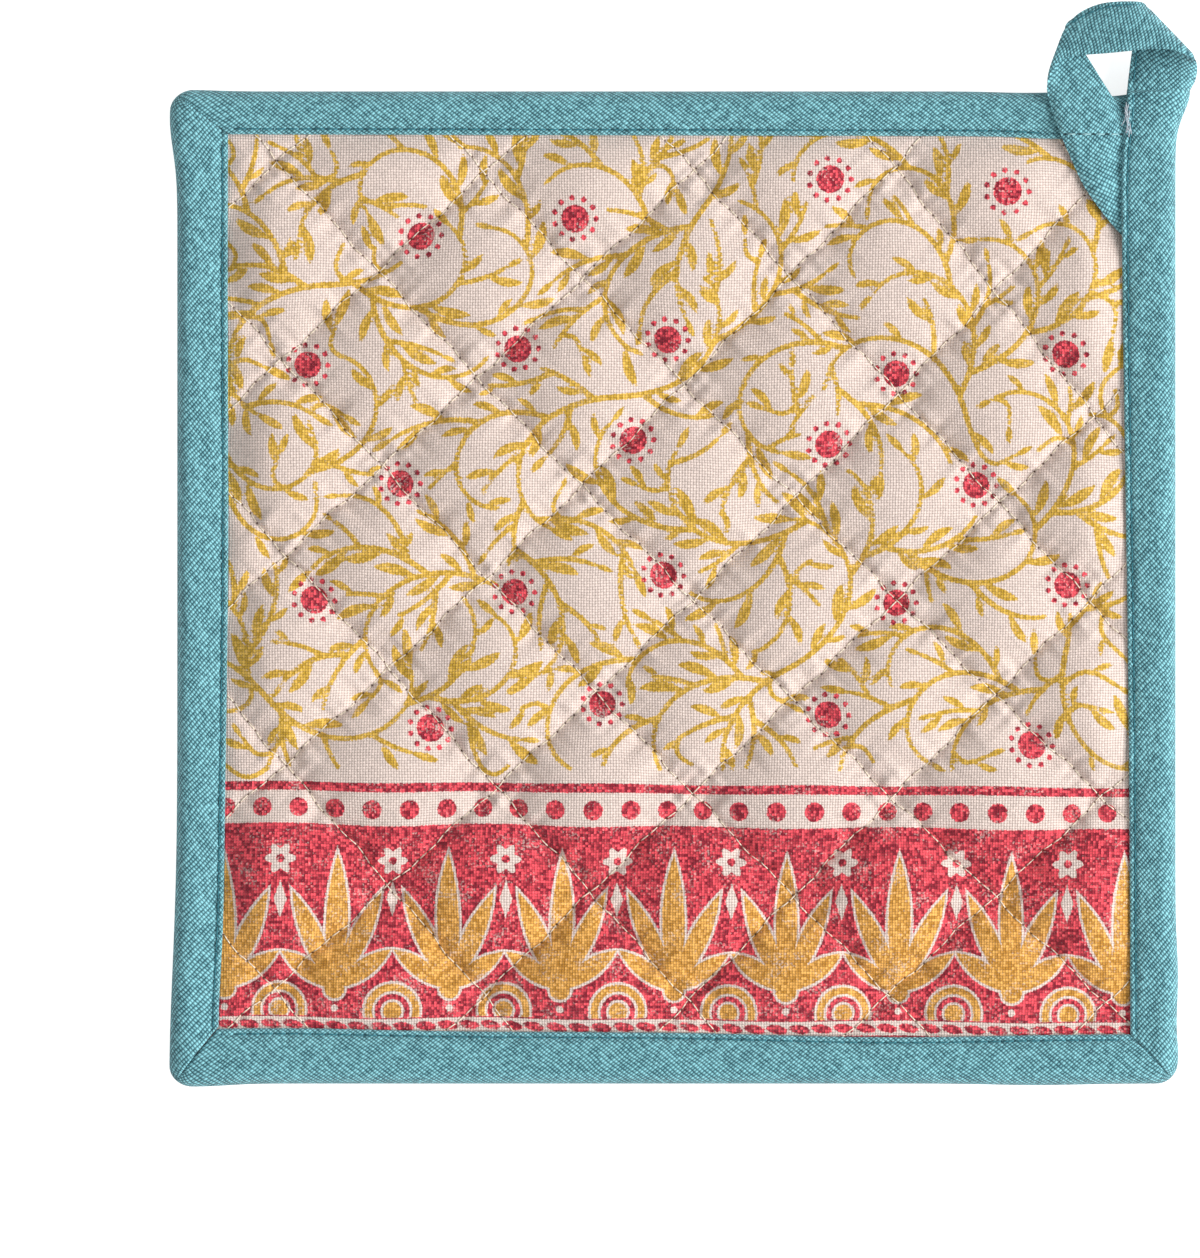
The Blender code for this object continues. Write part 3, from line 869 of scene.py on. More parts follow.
class Wiring:
    """Makes and joins the nodes of one shader tree."""

    def __init__(self, tree: bpy.types.NodeTree) -> None:
        """Work on a tree."""
        self.tree = tree

    def node(self, kind: str, **settings: object) -> bpy.types.Node:
        """Add a node and set its named settings."""
        node = self.tree.nodes.new(kind)
        for name, value in settings.items():
            setattr(node, name, value)
        return node

    def put(self, socket: bpy.types.NodeSocket, value: object) -> None:
        """Feed a socket from a signal, or set it."""
        if isinstance(value, Signal):
            self.tree.links.new(value.socket, socket)
        else:
            socket.default_value = value

    def math(self, operation: str, *values: object, clamp: bool = False) -> Signal:
        """Do one sum."""
        node = self.node("ShaderNodeMath", operation=operation, use_clamp=clamp)
        for socket, value in zip(node.inputs, values):
            self.put(socket, value)
        return Signal(self, node.outputs[0])

    def along(self, place: Signal, direction: tuple[float, float, float]) -> Signal:
        """How far a place lies in a direction."""
        node = self.node("ShaderNodeVectorMath", operation="DOT_PRODUCT")
        self.put(node.inputs[0], place)
        node.inputs[1].default_value = direction
        return Signal(self, node.outputs["Value"])

    def parts(self, value: Signal) -> tuple[Signal, Signal, Signal]:
        """The three numbers of a vector or the channels of a colour."""
        node = self.node("ShaderNodeSeparateXYZ")
        self.put(node.inputs[0], value)
        return tuple(Signal(self, socket) for socket in node.outputs)

    def merge(self, x: object, y: object) -> Signal:
        """A vector of two numbers."""
        node = self.node("ShaderNodeCombineXYZ")
        self.put(node.inputs[0], x)
        self.put(node.inputs[1], y)
        return Signal(self, node.outputs[0])

    def grey(self, value: Signal) -> Signal:
        """A colour with the same value in its three channels."""
        node = self.node("ShaderNodeCombineColor")
        for socket in node.inputs:
            self.put(socket, value)
        return Signal(self, node.outputs[0])

    def attribute(self, name: str, output: str) -> Signal:
        """A value kept on the mesh."""
        node = self.node("ShaderNodeAttribute", attribute_name=name)
        return Signal(self, node.outputs[output])

    def noise(self, place: Signal, scale: float, detail: float = 2.0,
              output: str = "Fac") -> Signal:
        """Soft noise that varies over 1 / scale."""
        node = self.node("ShaderNodeTexNoise")
        self.put(node.inputs["Vector"], place)
        node.inputs["Scale"].default_value = scale
        node.inputs["Detail"].default_value = detail
        return Signal(self, node.outputs[output])

    def random(self, x: Signal, y: Signal) -> Signal:
        """A number between 0 and 1, another for each pair of numbers."""
        node = self.node("ShaderNodeTexWhiteNoise", noise_dimensions="2D")
        self.put(node.inputs["Vector"], self.merge(x, y))
        return Signal(self, node.outputs["Value"])

    def colour_mix(self, share: object, first: object, second: object,
                   blend: str = "MIX") -> Signal:
        """Go from one colour to another."""
        node = self.node("ShaderNodeMix", data_type="RGBA", blend_type=blend)
        self.put(node.inputs[0], share)
        self.put(node.inputs[6], first)
        self.put(node.inputs[7], second)
        return Signal(self, node.outputs[2])

    def group(self, tree: bpy.types.NodeTree, **values: object) -> dict[str, Signal]:
        """Place a group, feed its inputs by name and give its outputs by name."""
        node = self.node("ShaderNodeGroup", node_tree=tree)
        for name, value in values.items():
            self.put(node.inputs[name.replace("_", " ")], value)
        return {socket.name: Signal(self, socket) for socket in node.outputs}

    def shade(self, **values: object) -> None:
        """Set or feed the inputs of the material's shader by name."""
        shader = self.tree.nodes["Principled BSDF"]
        for name, value in values.items():
            self.put(shader.inputs[name.replace("_", " ")], value)


def new_material(name: str, **values: object) -> tuple[bpy.types.Material, Wiring]:
    """A material with these values on its shader, and its wiring."""
    material = bpy.data.materials.new(name)
    material.use_nodes = True
    wiring = Wiring(material.node_tree)
    wiring.shade(**values)
    return material, wiring


class GroupMaker:
    """A shader node group being made, with named inputs and outputs."""

    def __init__(self, name: str, inputs: dict[str, str], outputs: tuple[str, ...]) -> None:
        """Start a group.

        Args:
            name: its name.
            inputs: kind of each input by name, Vector or Float.
            outputs: names of its outputs, all numbers.
        """
        self.tree = bpy.data.node_groups.new(name, "ShaderNodeTree")
        new = self.tree.interface.new_socket
        for label, kind in inputs.items():
            new(label, in_out="INPUT", socket_type=f"NodeSocket{kind}")
        for label in outputs:
            new(label, in_out="OUTPUT", socket_type="NodeSocketFloat")
        self.wiring = Wiring(self.tree)
        entry = self.wiring.node("NodeGroupInput")
        self.exit = self.wiring.node("NodeGroupOutput")
        self.inputs = {s.name: Signal(self.wiring, s) for s in entry.outputs if s.name}

    def give(self, **values: Signal) -> bpy.types.NodeTree:
        """Feed the outputs by name, and hand over the group."""
        for name, value in values.items():
            self.wiring.put(self.exit.inputs[name], value)
        return self.tree


class Shaders:
    """The shader groups that the finishes share."""

    def __init__(self) -> None:
        """Make every group once."""
        self.weave = self.make_weave()
        self.ink = self.make_ink()
        self.border = self.make_border(BorderPrint())
        self.blossom = self.make_blossom()
        self.needle = self.make_needle()

    @staticmethod
    def make_weave() -> bpy.types.NodeTree:
        """Plain weave: threads going over and under each other, each a little different.

        Returns:
            A group with the threads' height, how round each crossing stands out, which the canvas
            paints as a highlight, the gaps between them, where the printed cotton paints shade,
            and their tone.
        """
        kinds = {"Place": "Vector", "Warp pitch": "Float", "Weft pitch": "Float",
                 "Wander": "Float", "Rib": "Float"}
        maker = GroupMaker("thread weave", kinds, ("Height", "Dot", "Gap", "Tone"))
        wiring = maker.wiring
        place = maker.inputs["Place"]
        wander = maker.inputs["Wander"]
        drift_x, drift_y, _ = wiring.parts(wiring.noise(place, 0.16, 1.0, "Color"))
        x, y, _ = wiring.parts(place)
        x = x.over(maker.inputs["Warp pitch"]) + (drift_x - 0.5) * wander
        y = y.over(maker.inputs["Weft pitch"]) + (drift_y - 0.5) * wander
        warp = (x * math.pi).sine().abs()
        weft = (y * math.pi).sine().abs()
        over = ((x.floor() + y.floor()) * 0.5).fold(0.5) * 2.0
        upper = warp * over + weft * (1.0 - over)
        lower = weft * over + warp * (1.0 - over)
        ribbed = warp * maker.inputs["Rib"] + upper * (1.0 - maker.inputs["Rib"])
        height = ribbed * (lower * 0.55 + 0.45)
        gap = ((1.0 - warp) * (1.0 - weft)).power(1.2)
        thread = wiring.random(x.floor() * over, y.floor() * (1.0 - over))
        crossing = wiring.random(x.floor() + 0.5, y.floor() + 0.5)
        tone = thread * 0.12 + crossing * 0.48 + wiring.noise(place, 0.9, 2.0) * 0.4
        dot = (warp * weft).power(0.75)
        return maker.give(Height=height, Dot=dot, Gap=gap, Tone=tone)

    @staticmethod
    def make_needle() -> bpy.types.NodeTree:
        """Needle holes along a sewn line.

        Returns:
            A group that takes the distance from the line and the place along it in
            stitches, and gives 1 in the holes.
        """
        kinds = {"Away": "Float", "Stitches": "Float", "Stitch": "Float", "Radius": "Float"}
        maker = GroupMaker("needle holes", kinds, ("Hole",))
        along = maker.inputs["Stitches"].fold(0.5) * maker.inputs["Stitch"]
        away = along.length(maker.inputs["Away"])
        return maker.give(Hole=(away - maker.inputs["Radius"]).under(0.0, 0.09))

    @staticmethod
    def make_ink() -> bpy.types.NodeTree:
        """Block-printed ink: a ragged edge, and cloth showing where it took badly.

        Returns:
            A group that turns a distance outside a shape into how well it is covered.
        """
        kinds = {"Distance": "Float", "Place": "Vector", "Bare": "Float"}
        maker = GroupMaker("block ink", kinds, ("Cover",))
        wiring = maker.wiring
        place = maker.inputs["Place"]
        ragged = (wiring.noise(place, 2.6, 2.0) - 0.5) * 0.7
        shape = (maker.inputs["Distance"] + ragged).under(0.0, 0.07)
        patches = wiring.noise(place, 0.22, 3.0)
        specks = wiring.noise(place, 2.0, 1.0)
        bare = 1.0 - (specks + (patches - 0.5) * 0.9).under(0.68, 0.07)
        return maker.give(Cover=shape * (1.0 - bare * maker.inputs["Bare"]))

    @staticmethod
    def make_blossom() -> bpy.types.NodeTree:
        """A small round flower: a solid eye in a ring of dots, as a distance outside it."""
        maker = GroupMaker("round flower", {"Place": "Vector"}, ("Distance",))
        wiring = maker.wiring
        x, y, far = wiring.parts(maker.inputs["Place"])
        dots, eye, ring, dot = 11.0, 2.75, 4.15, 0.55
        away = x.length(y)
        turn = wiring.math("ARCTAN2", y, x) + math.tau
        aside = turn.fold(math.pi / dots) * away
        inner = aside.length(away - ring) - dot
        return maker.give(Distance=(away - eye).least(inner) + far * 20.0)

    @staticmethod
    def petal(wiring: Wiring, place: Signal, root: float, petal: Petal) -> Signal:
        """Distance outside a petal.

        Args:
            wiring: the group's wiring.
            place: where, with x from the flower's axis.
            root: height of its root on the axis.
            petal: its shape.

        Returns:
            About the distance outside it.
        """
        angle = math.radians(petal.lean)
        up = (math.sin(angle), math.cos(angle), 0.0)
        right = (math.cos(angle), -math.sin(angle), 0.0)
        run = wiring.along(place, up) - root * up[1]
        off = wiring.along(place, right) - root * right[1]
        middle = run * (2.0 / petal.long) - 1.0
        return off.abs() + middle * middle * petal.half - petal.half

    @classmethod
    def make_border(cls, art: BorderPrint) -> bpy.types.NodeTree:
        """The border print.

        Args:
            art: its sizes.

        Returns:
            A group with distances outside the red ground, and outside what is cream and
            what is mustard on it.
        """
        maker = GroupMaker("border print", {"Place": "Vector"}, ("Red", "Cream", "Mustard"))
        wiring = maker.wiring
        x, y, _ = wiring.parts(maker.inputs["Place"])
        x = x + 20.0 * art.pitch
        aside = x.fold(art.pitch / 2)
        between = art.pitch / 2 - aside
        place = wiring.merge(aside, y)

        mustard = aside.length(y - art.root) - art.calyx
        for petal in art.petals:
            mustard = mustard.least(cls.petal(wiring, place, art.root, petal))
        from_ring = between.length(y - art.ring)
        mustard = mustard.least((from_ring - art.ring_radius).abs() - art.ring_half)
        mustard = mustard.least(from_ring - art.pip)

        from_bud = between.length(y - art.bud)
        turn = wiring.math("ARCTAN2", y - art.bud, between) * 6.0 + math.pi / 2
        bud = from_bud - turn.sine() * art.bud_wave - art.bud_radius
        bud = bud.most(art.bud_eye - from_bud)
        drop = (y - art.drop).abs() * (art.drop_half / art.drop_long) + between - art.drop_half
        bead = aside.length(y - art.bead) - art.bead_radius
        cream = (mustard - art.outline).least(bud).least(drop).least(bead)

        band = (y - art.band).abs() - art.band_half
        line = (y - art.line).abs() - art.line_half
        dot = x.fold(art.dot_pitch / 2).length(y - art.dots) - art.dot_radius
        dash = (x + y * art.dash_slant).fold(art.dash_pitch / 2) * (art.dash_half / art.dash_long)
        dash = dash.length(y - art.dashes) - art.dash_half
        hem = (y - art.hem).abs() - art.hem_half
        red = band.least(line).least(dot).least(dash).least(hem)
        inside = band + 0.3
        return maker.give(Red=red, Cream=cream.most(inside), Mustard=mustard.most(inside))


# --- Finishes -----------------------------------------------------------------------------

Colour = tuple[float, float, float, float]


@dataclass(frozen=True)
class Ink:
    """A printing colour where it lies thin and where it lies thick."""

    thick: Colour
    thin: Colour


MUSTARD = Ink((0.560, 0.330, 0.020, 1.0), (0.800, 0.500, 0.085, 1.0))
ORANGE = Ink((0.560, 0.250, 0.025, 1.0), (0.900, 0.470, 0.110, 1.0))
RED = Ink((0.265, 0.002, 0.020, 1.0), (0.945, 0.086, 0.118, 1.0))
CREAM: Colour = (0.800, 0.662, 0.597, 1.0)
SHADOW: Colour = (0.400, 0.310, 0.270, 1.0)
# Painted shade in the needle holes of the quilting.
HOLE_SHADE: Colour = (0.140, 0.070, 0.045, 1.0)


class Holes(NamedTuple):
    """Needle holes: where the mesh keeps their line, pitch, radius and painted shade colour."""

    seam: str
    stitch: float
    radius: float
    colour: Colour


@dataclass(frozen=True)
class Finish:
    """How a matt cloth or thread takes the light.

    Attributes:
        name: name of the material.
        roughness: roughness of its fibres.
        sheen: strength of the fuzz at grazing angles.
        relief: height of the weave's bump, in millimetres.
    """

    name: str
    roughness: float = 0.92
    sheen: float = 0.25
    relief: float = 0.16

    def start(self) -> tuple[bpy.types.Material, Wiring]:
        """A new material and its wiring."""
        return new_material(self.name, Roughness=self.roughness, Sheen_Weight=self.sheen,
                            Sheen_Roughness=0.6, Specular_IOR_Level=0.2)

    @staticmethod
    def pierce(wiring: Wiring, shaders: Shaders, colour: Signal, *lines: Holes) -> Signal:
        """A colour with painted shade in needle holes along sewn lines."""
        for line in lines:
            away, stitches, _ = wiring.parts(wiring.attribute(line.seam, "Vector"))
            needle = wiring.group(shaders.needle, Away=away, Stitches=stitches,
                                  Stitch=line.stitch, Radius=line.radius)
            colour = wiring.colour_mix(needle["Hole"], colour, line.colour)
        return colour

    def dress(self, wiring: Wiring, colour: Signal, height: Signal) -> None:
        """Give the surface its colour, and raise it by a height between 0 and 1."""
        node = wiring.node("ShaderNodeBump")
        node.inputs["Strength"].default_value = 1.0
        node.inputs["Distance"].default_value = self.relief * MM
        wiring.put(node.inputs["Height"], height)
        wiring.shade(Base_Color=colour, Normal=Signal(wiring, node.outputs["Normal"]))


@dataclass(frozen=True)
class PrintedCotton(Finish):
    """Cream cotton, plain or with the scrolls, flowers and border printed on it.

    Attributes:
        pitch: distance between two threads.
        printed: whether it is printed.
        stitch: length of a quilting stitch.
        hole: radius of a needle hole.
    """

    pitch: float = 0.54
    printed: bool = True
    stitch: float = 2.35
    hole: float = 0.21
    relief: float = 0.12

    def make(self, shaders: Shaders) -> bpy.types.Material:
        """Make the material."""
        material, wiring = self.start()
        place = wiring.attribute("print_place", "Vector")
        weave = wiring.group(shaders.weave, Place=place, Warp_pitch=self.pitch,
                             Weft_pitch=self.pitch, Wander=0.9, Rib=0.0)
        colour = self.print(wiring, shaders, place, weave["Tone"]) if self.printed else CREAM
        # The threads' own random tone, with a painted highlight on their crowns and painted shade
        # low between them.
        light = weave["Tone"] * 0.34 + weave["Height"] * 0.17 + 0.735
        toned = wiring.colour_mix(1.0, colour, wiring.grey(light), "MULTIPLY")
        # Painted shade in the gaps between the threads.
        dark = wiring.colour_mix(1.0, toned, SHADOW, "MULTIPLY")
        colour = self.pierce(
            wiring, shaders, wiring.colour_mix(weave["Gap"], toned, dark),
            Holes("rising_seam", self.stitch, self.hole, HOLE_SHADE),
            Holes("falling_seam", self.stitch, self.hole, HOLE_SHADE),
        )
        self.dress(wiring, colour, weave["Height"])
        return material

    def print(self, wiring: Wiring, shaders: Shaders, place: Signal, tone: Signal) -> Signal:
        """Colour of the printed cloth.

        Args:
            wiring: the material's wiring.
            shaders: the shared groups.
            place: where on the cloth.
            tone: tone of the thread there, which takes more or less ink.

        Returns:
            The colour.
        """
        def cover(distance: Signal, bare: float) -> Signal:
            """How well a shape is covered with ink."""
            return wiring.group(shaders.ink, Distance=distance, Place=place, Bare=bare)["Cover"]

        def printed(share: Signal, ground: object, ink: Ink) -> Signal:
            """Ink over what is there."""
            return wiring.colour_mix(share, ground, wiring.colour_mix(wet, ink.thick, ink.thin))

        wet = (tone * 2.8 + wiring.noise(place, 0.35, 3.0) * 0.9 - 1.35).held()
        seen = wiring.attribute("blossom", "Vector")
        flower = wiring.group(shaders.blossom, Place=seen)["Distance"]
        border = wiring.group(shaders.border, Place=place)
        ground = cover(border["Red"], 0.45) * (1.0 - cover(border["Cream"], 0.0))
        colour = printed(cover(wiring.attribute("scroll", "Fac"), 0.25), CREAM, MUSTARD)
        colour = printed(cover(flower, 0.6), colour, RED)
        colour = printed(ground, colour, RED)
        return printed(cover(border["Mustard"], 0.5), colour, ORANGE)


@dataclass(frozen=True)
class BiasCanvas(Finish):
    """Blue-green canvas cut on the bias, so that its threads run slantwise on the strip.

    Attributes:
        rib_pitch: distance between two ribs.
        dot_pitch: distance between two threads that cross them.
        stitch: length of a top stitch.
        hole: radius of a needle hole.
        dip: half the height of the dips between the stitches of the loop's end.
        light, deep: colours of the threads' crowns, with a painted highlight, and of the gaps
            between them, with painted shade; deep is also the painted shade in the needle holes.
        dark: colour of the painted shade in those dips.
    """

    rib_pitch: float = 0.77
    dot_pitch: float = 0.56
    stitch: float = 2.6
    hole: float = 0.2
    dip: float = 0.22
    light: Colour = (0.320, 0.745, 0.825, 1.0)
    deep: Colour = (0.020, 0.105, 0.135, 1.0)
    dark: Colour = (0.006, 0.035, 0.045, 1.0)

    def make(self, shaders: Shaders) -> bpy.types.Material:
        """Make the material."""
        material, wiring = self.start()
        along, across, _ = wiring.parts(wiring.attribute("strip_place", "Vector"))
        place = wiring.merge((across - along) * (1.0 / ROOT2), (across + along) * (1.0 / ROOT2))
        weave = wiring.group(shaders.weave, Place=place, Warp_pitch=self.rib_pitch,
                             Weft_pitch=self.dot_pitch, Wander=1.2, Rib=0.35)
        # Painted highlight on the threads' crossings and painted shade in the gaps between them,
        # mixed with the threads' own random tone.
        share = (weave["Dot"] + weave["Tone"] * 0.95 - 0.55).held()
        # Painted shade in the needle holes of the top stitches and in the dips between the
        # stitches across the loop's end.
        colour = self.pierce(
            wiring, shaders, wiring.colour_mix(share, self.deep, self.light),
            Holes("strip_seam", self.stitch, self.hole, self.deep),
            Holes("tail_seam", self.stitch / 2, self.dip, self.dark),
        )
        self.dress(wiring, colour, weave["Height"])
        return material


@dataclass(frozen=True)
class SewingThread(Finish):
    """Two-ply sewing thread of one colour.

    Attributes:
        colour: its colour on the crowns of the plies.
        shade: share of that colour left in the grooves between them, as painted shade.
        twist: how fast the plies turn, in radians for each millimetre.
    """

    relief: float = 0.05
    sheen: float = 0.1
    roughness: float = 0.6
    colour: Colour = (0.98, 0.87, 0.70, 1.0)
    shade: float = 0.8
    twist: float = 7.0

    def make(self) -> bpy.types.Material:
        """Make the material."""
        material, wiring = self.start()
        along, around, _ = wiring.parts(wiring.attribute("thread_place", "Vector"))
        ply = (along * self.twist + around).sine() * 0.5 + 0.5
        # Painted shade in the grooves between the plies.
        deep = tuple(self.shade * part for part in self.colour[:3]) + (1.0,)
        self.dress(wiring, wiring.colour_mix(ply, deep, self.colour), ply)
        return material


# --- Quilted pad --------------------------------------------------------------------------

@dataclass(frozen=True)
class QuiltedPad:
    """Front cloth, wadding and back cloth, sewn through in diamonds.

    Attributes:
        shape: heights of its faces.
        rim_inset: from the binding's outer fold to the pad's rim.
        front_steps: faces between two sewn lines on the printed face.
        back_steps: faces between them on the plain face.
        crowding: how much closer the faces stand beside a sewn line.
        print_tilt: lean of the print on the cloth, in degrees.
        print_creep: how far the print shifts where the cloth is drawn in.
    """

    shape: QuiltShape = QuiltShape()
    rim_inset: float = 2.5
    front_steps: int = 43
    back_steps: int = 14
    crowding: float = 0.22
    print_tilt: float = -0.45
    print_creep: float = 0.2

    def face_grid(self, steps: int) -> tuple[np.ndarray, np.ndarray]:
        """Plan points of a face, and the corners of its quads.

        Args:
            steps: faces between two sewn lines.

        Returns:
            The points, drawn in to the rim, and the quads that are left inside it.
        """
        cells = len(RISING) - 1
        share = np.arange(cells * steps + 1) / steps
        numbers = share - self.crowding * np.sin(math.tau * share) / math.tau
        rising, falling = np.meshgrid(numbers, numbers, indexing="ij")
        count = len(numbers)
        points = lattice(rising.ravel(), falling.ravel())
        room = HALF - self.rim_inset
        points = np.clip(points, -room, room)
        i, j = np.meshgrid(np.arange(count - 1), np.arange(count - 1), indexing="ij")
        corner = (i * count + j).ravel()
        quads = np.stack([corner, corner + 1, corner + count + 1, corner + count], axis=-1)
        first = points[quads[:, 2]] - points[quads[:, 0]]
        second = points[quads[:, 3]] - points[quads[:, 1]]
        area = np.abs(first[:, 0] * second[:, 1] - first[:, 1] * second[:, 0]) / 2.0
        quads = quads[area > 0.004]
        used, packed = np.unique(quads, return_inverse=True)
        return points[used], packed.reshape(-1, 4)

    def rim_order(self, points: np.ndarray) -> tuple[np.ndarray, np.ndarray]:
        """Vertices on the rim in order round it, and how far round each one is."""
        room = HALF - self.rim_inset
        on_rim = np.flatnonzero((np.abs(np.abs(points) - room) < 1e-6).any(axis=1))
        angle = np.arctan2(points[on_rim, 1] / room[1], points[on_rim, 0] / room[0])
        order = np.argsort(angle)
        return on_rim[order], angle[order]

    def rim_faces(self, front: np.ndarray, back: np.ndarray) -> list[tuple[int, ...]]:
        """Triangles between the rims of the two faces.

        Args:
            front: plan points of the printed face.
            back: plan points of the plain face, whose vertices are numbered after those.

        Returns:
            The triangles' corners.
        """
        upper, upper_angle = self.rim_order(front)
        lower, lower_angle = self.rim_order(back)
        lower = lower + len(front)
        faces = []
        i = j = 0
        while i < len(upper) or j < len(lower):
            next_upper = upper_angle[i + 1] if i + 1 < len(upper) else math.tau
            next_lower = lower_angle[j + 1] if j + 1 < len(lower) else math.tau
            above, beneath = upper[i % len(upper)], lower[j % len(lower)]
            if j >= len(lower) or (i < len(upper) and next_upper <= next_lower):
                faces.append((int(above), int(beneath), int(upper[(i + 1) % len(upper)])))
                i += 1
            else:
                faces.append((int(above), int(beneath), int(lower[(j + 1) % len(lower)])))
                j += 1
        return faces

    def print_places(self, points: np.ndarray) -> np.ndarray:
        """Where on the printed cloth each plan point is."""
        numbers = np.stack([number_at(*lines) for lines in both_families(points)])
        creep = self.print_creep * np.sin(math.tau * numbers)
        x, y = (points + on_plan(*creep)).T
        lean = math.radians(self.print_tilt)
        turned_x = x * math.cos(lean) + y * math.sin(lean)
        turned_y = y * math.cos(lean) - x * math.sin(lean)
        return pair(turned_x, turned_y + ripple(PRINT_WAVES, x, 0))

    def build(self, shaders: Shaders) -> bpy.types.Object:
        """Make the pad and dress it."""
        front, front_quads = self.face_grid(self.front_steps)
        back, back_quads = self.face_grid(self.back_steps)
        faces = front_quads[:, ::-1].tolist()
        faces += (back_quads + len(front)).tolist()
        faces += self.rim_faces(front, back)
        points = np.concatenate([
            np.column_stack([front, self.shape.front(front)]),
            np.column_stack([back, self.shape.back(back)]),
        ])
        places = self.print_places(points[:, :2])
        artwork = ScrollPrint()
        scroll = np.full(len(points), 2.0)
        scroll[: len(front)] = artwork.distance(places[: len(front), :2])
        rising, falling = (self.shape.seam_place(*lines) for lines in both_families(points))
        printed = PrintedCotton("printed_cotton").make(shaders)
        plain = PrintedCotton("plain_cotton", printed=False).make(shaders)
        piece = make_piece(
            "quilted_pad", points, faces, [printed, plain],
            {
                "print_place": places,
                "scroll": scroll,
                "blossom": artwork.from_blossom(places[:, :2]),
                "rising_seam": rising,
                "falling_seam": falling,
            },
        )
        which = np.zeros(len(piece.data.polygons), dtype=np.int32)
        which[len(front_quads):] = 1
        piece.data.polygons.foreach_set("material_index", which)
        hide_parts("quilted_panel")
        return piece


# --- Bias strip: binding and loop ---------------------------------------------------------

class Anchor(Enum):
    """What a point of the strip's section is measured from."""

    LIP = 0.0
    FOLD = 1.0


class Turn(NamedTuple):
    """A point of the folded strip's section: distance from its anchor, and height."""

    anchor: Anchor
    distance: float
    z: float


SECTION = (
    Turn(Anchor.LIP, 0.40, 4.50),
    Turn(Anchor.LIP, 0.02, 4.70),
    Turn(Anchor.LIP, 0.05, 5.12),
    Turn(Anchor.LIP, 0.36, 5.42),
    Turn(Anchor.LIP, 0.82, 5.44),
    Turn(Anchor.LIP, 1.15, 5.22),
    Turn(Anchor.LIP, 1.50, 5.44),
    Turn(Anchor.LIP, 2.00, 5.64),
    Turn(Anchor.LIP, 3.00, 5.82),
    Turn(Anchor.LIP, 4.60, 6.00),
    Turn(Anchor.FOLD, 3.20, 6.16),
    Turn(Anchor.FOLD, 1.90, 5.88),
    Turn(Anchor.FOLD, 0.70, 5.05),
    Turn(Anchor.FOLD, 0.08, 3.80),
    Turn(Anchor.FOLD, 0.00, 2.60),
    Turn(Anchor.FOLD, 0.40, 1.00),
    Turn(Anchor.FOLD, 1.40, 0.15),
    Turn(Anchor.FOLD, 2.80, 0.00),
    Turn(Anchor.LIP, 2.40, 0.00),
    Turn(Anchor.LIP, 1.60, 0.22),
    Turn(Anchor.LIP, 1.15, 0.38),
    Turn(Anchor.LIP, 0.60, 0.08),
    Turn(Anchor.LIP, 0.02, 0.40),
    Turn(Anchor.LIP, 0.25, 1.20),
    Turn(Anchor.FOLD, 2.20, 1.20),
    Turn(Anchor.FOLD, 1.75, 1.70),
    Turn(Anchor.FOLD, 1.70, 3.90),
    Turn(Anchor.FOLD, 2.20, 4.60),
)
SLOT_LOW = 1.2                 # height of the inside of the strip's lower leg
SLOT_HIGH = 4.6                # and of its upper leg
SLOT_MIDDLE = (SLOT_LOW + SLOT_HIGH) / 2


class Row(NamedTuple):
    """Where the loop's strip is at one place: its fold edge, its lip edge, its thickness,
    and how far it lies on the holder, where its height is that of what is below."""

    fold_x: float
    fold_y: float
    fold_z: float
    lip_x: float
    lip_y: float
    lip_z: float
    thick: float
    laid: float


LOOP_ROWS = (
    Row(102.8, 99.45, 3.0, 90.1, 99.45, 3.0, 5.9, 0.0),
    Row(103.7, 101.1, 3.8, 90.3, 100.7, 3.1, 5.2, 0.0),
    Row(104.1, 102.7, 5.2, 90.6, 102.5, 3.2, 3.9, 0.0),
    Row(104.1, 104.1, 6.7, 90.9, 104.9, 3.4, 2.6, 0.0),
    Row(103.9, 105.0, 7.9, 91.3, 107.9, 3.6, 1.8, 0.0),
    Row(103.8, 105.2, 9.0, 92.1, 111.6, 4.0, 1.5, 0.0),
    Row(103.7, 105.2, 10.1, 92.8, 115.2, 5.0, 1.4, 0.0),
    Row(103.5, 105.2, 11.3, 93.0, 116.3, 6.9, 1.4, 0.0),
    Row(102.6, 105.5, 12.3, 92.4, 116.7, 8.7, 1.4, 0.0),
    Row(100.7, 106.7, 12.8, 90.8, 116.9, 9.6, 1.5, 0.0),
    Row(96.7, 107.5, 12.6, 88.3, 117.0, 9.7, 1.5, 0.0),
    Row(91.1, 107.1, 11.9, 85.1, 116.7, 9.3, 1.5, 0.0),
    Row(85.7, 106.6, 10.7, 82.6, 115.9, 8.7, 1.5, 0.0),
    Row(81.3, 106.3, 9.7, 80.9, 115.0, 8.3, 1.5, 0.0),
    Row(77.8, 105.9, 9.1, 79.7, 114.1, 8.0, 1.3, 0.0),
    Row(75.5, 104.3, 8.7, 78.8, 113.3, 7.9, 1.2, 0.0),
    Row(74.4, 101.9, 8.2, 78.3, 112.3, 7.6, 1.2, 0.0),
    Row(74.0, 99.5, 7.6, 78.5, 111.1, 7.2, 1.2, 0.3),
    Row(74.7, 96.3, 7.1, 79.9, 109.1, 7.0, 1.3, 0.8),
    Row(76.3, 91.7, 7.1, 82.1, 106.1, 7.1, 1.5, 1.0),
    Row(78.5, 86.5, 7.1, 84.7, 101.9, 7.1, 1.5, 1.0),
    Row(81.3, 80.5, 7.1, 87.1, 98.1, 7.1, 1.5, 1.0),
    Row(84.7, 75.5, 7.1, 88.5, 96.1, 7.1, 1.5, 1.0),
    Row(88.4, 71.1, 7.1, 89.7, 94.5, 7.1, 1.5, 1.0),
    Row(91.2, 68.6, 7.1, 91.9, 92.6, 7.1, 1.5, 1.0),
)


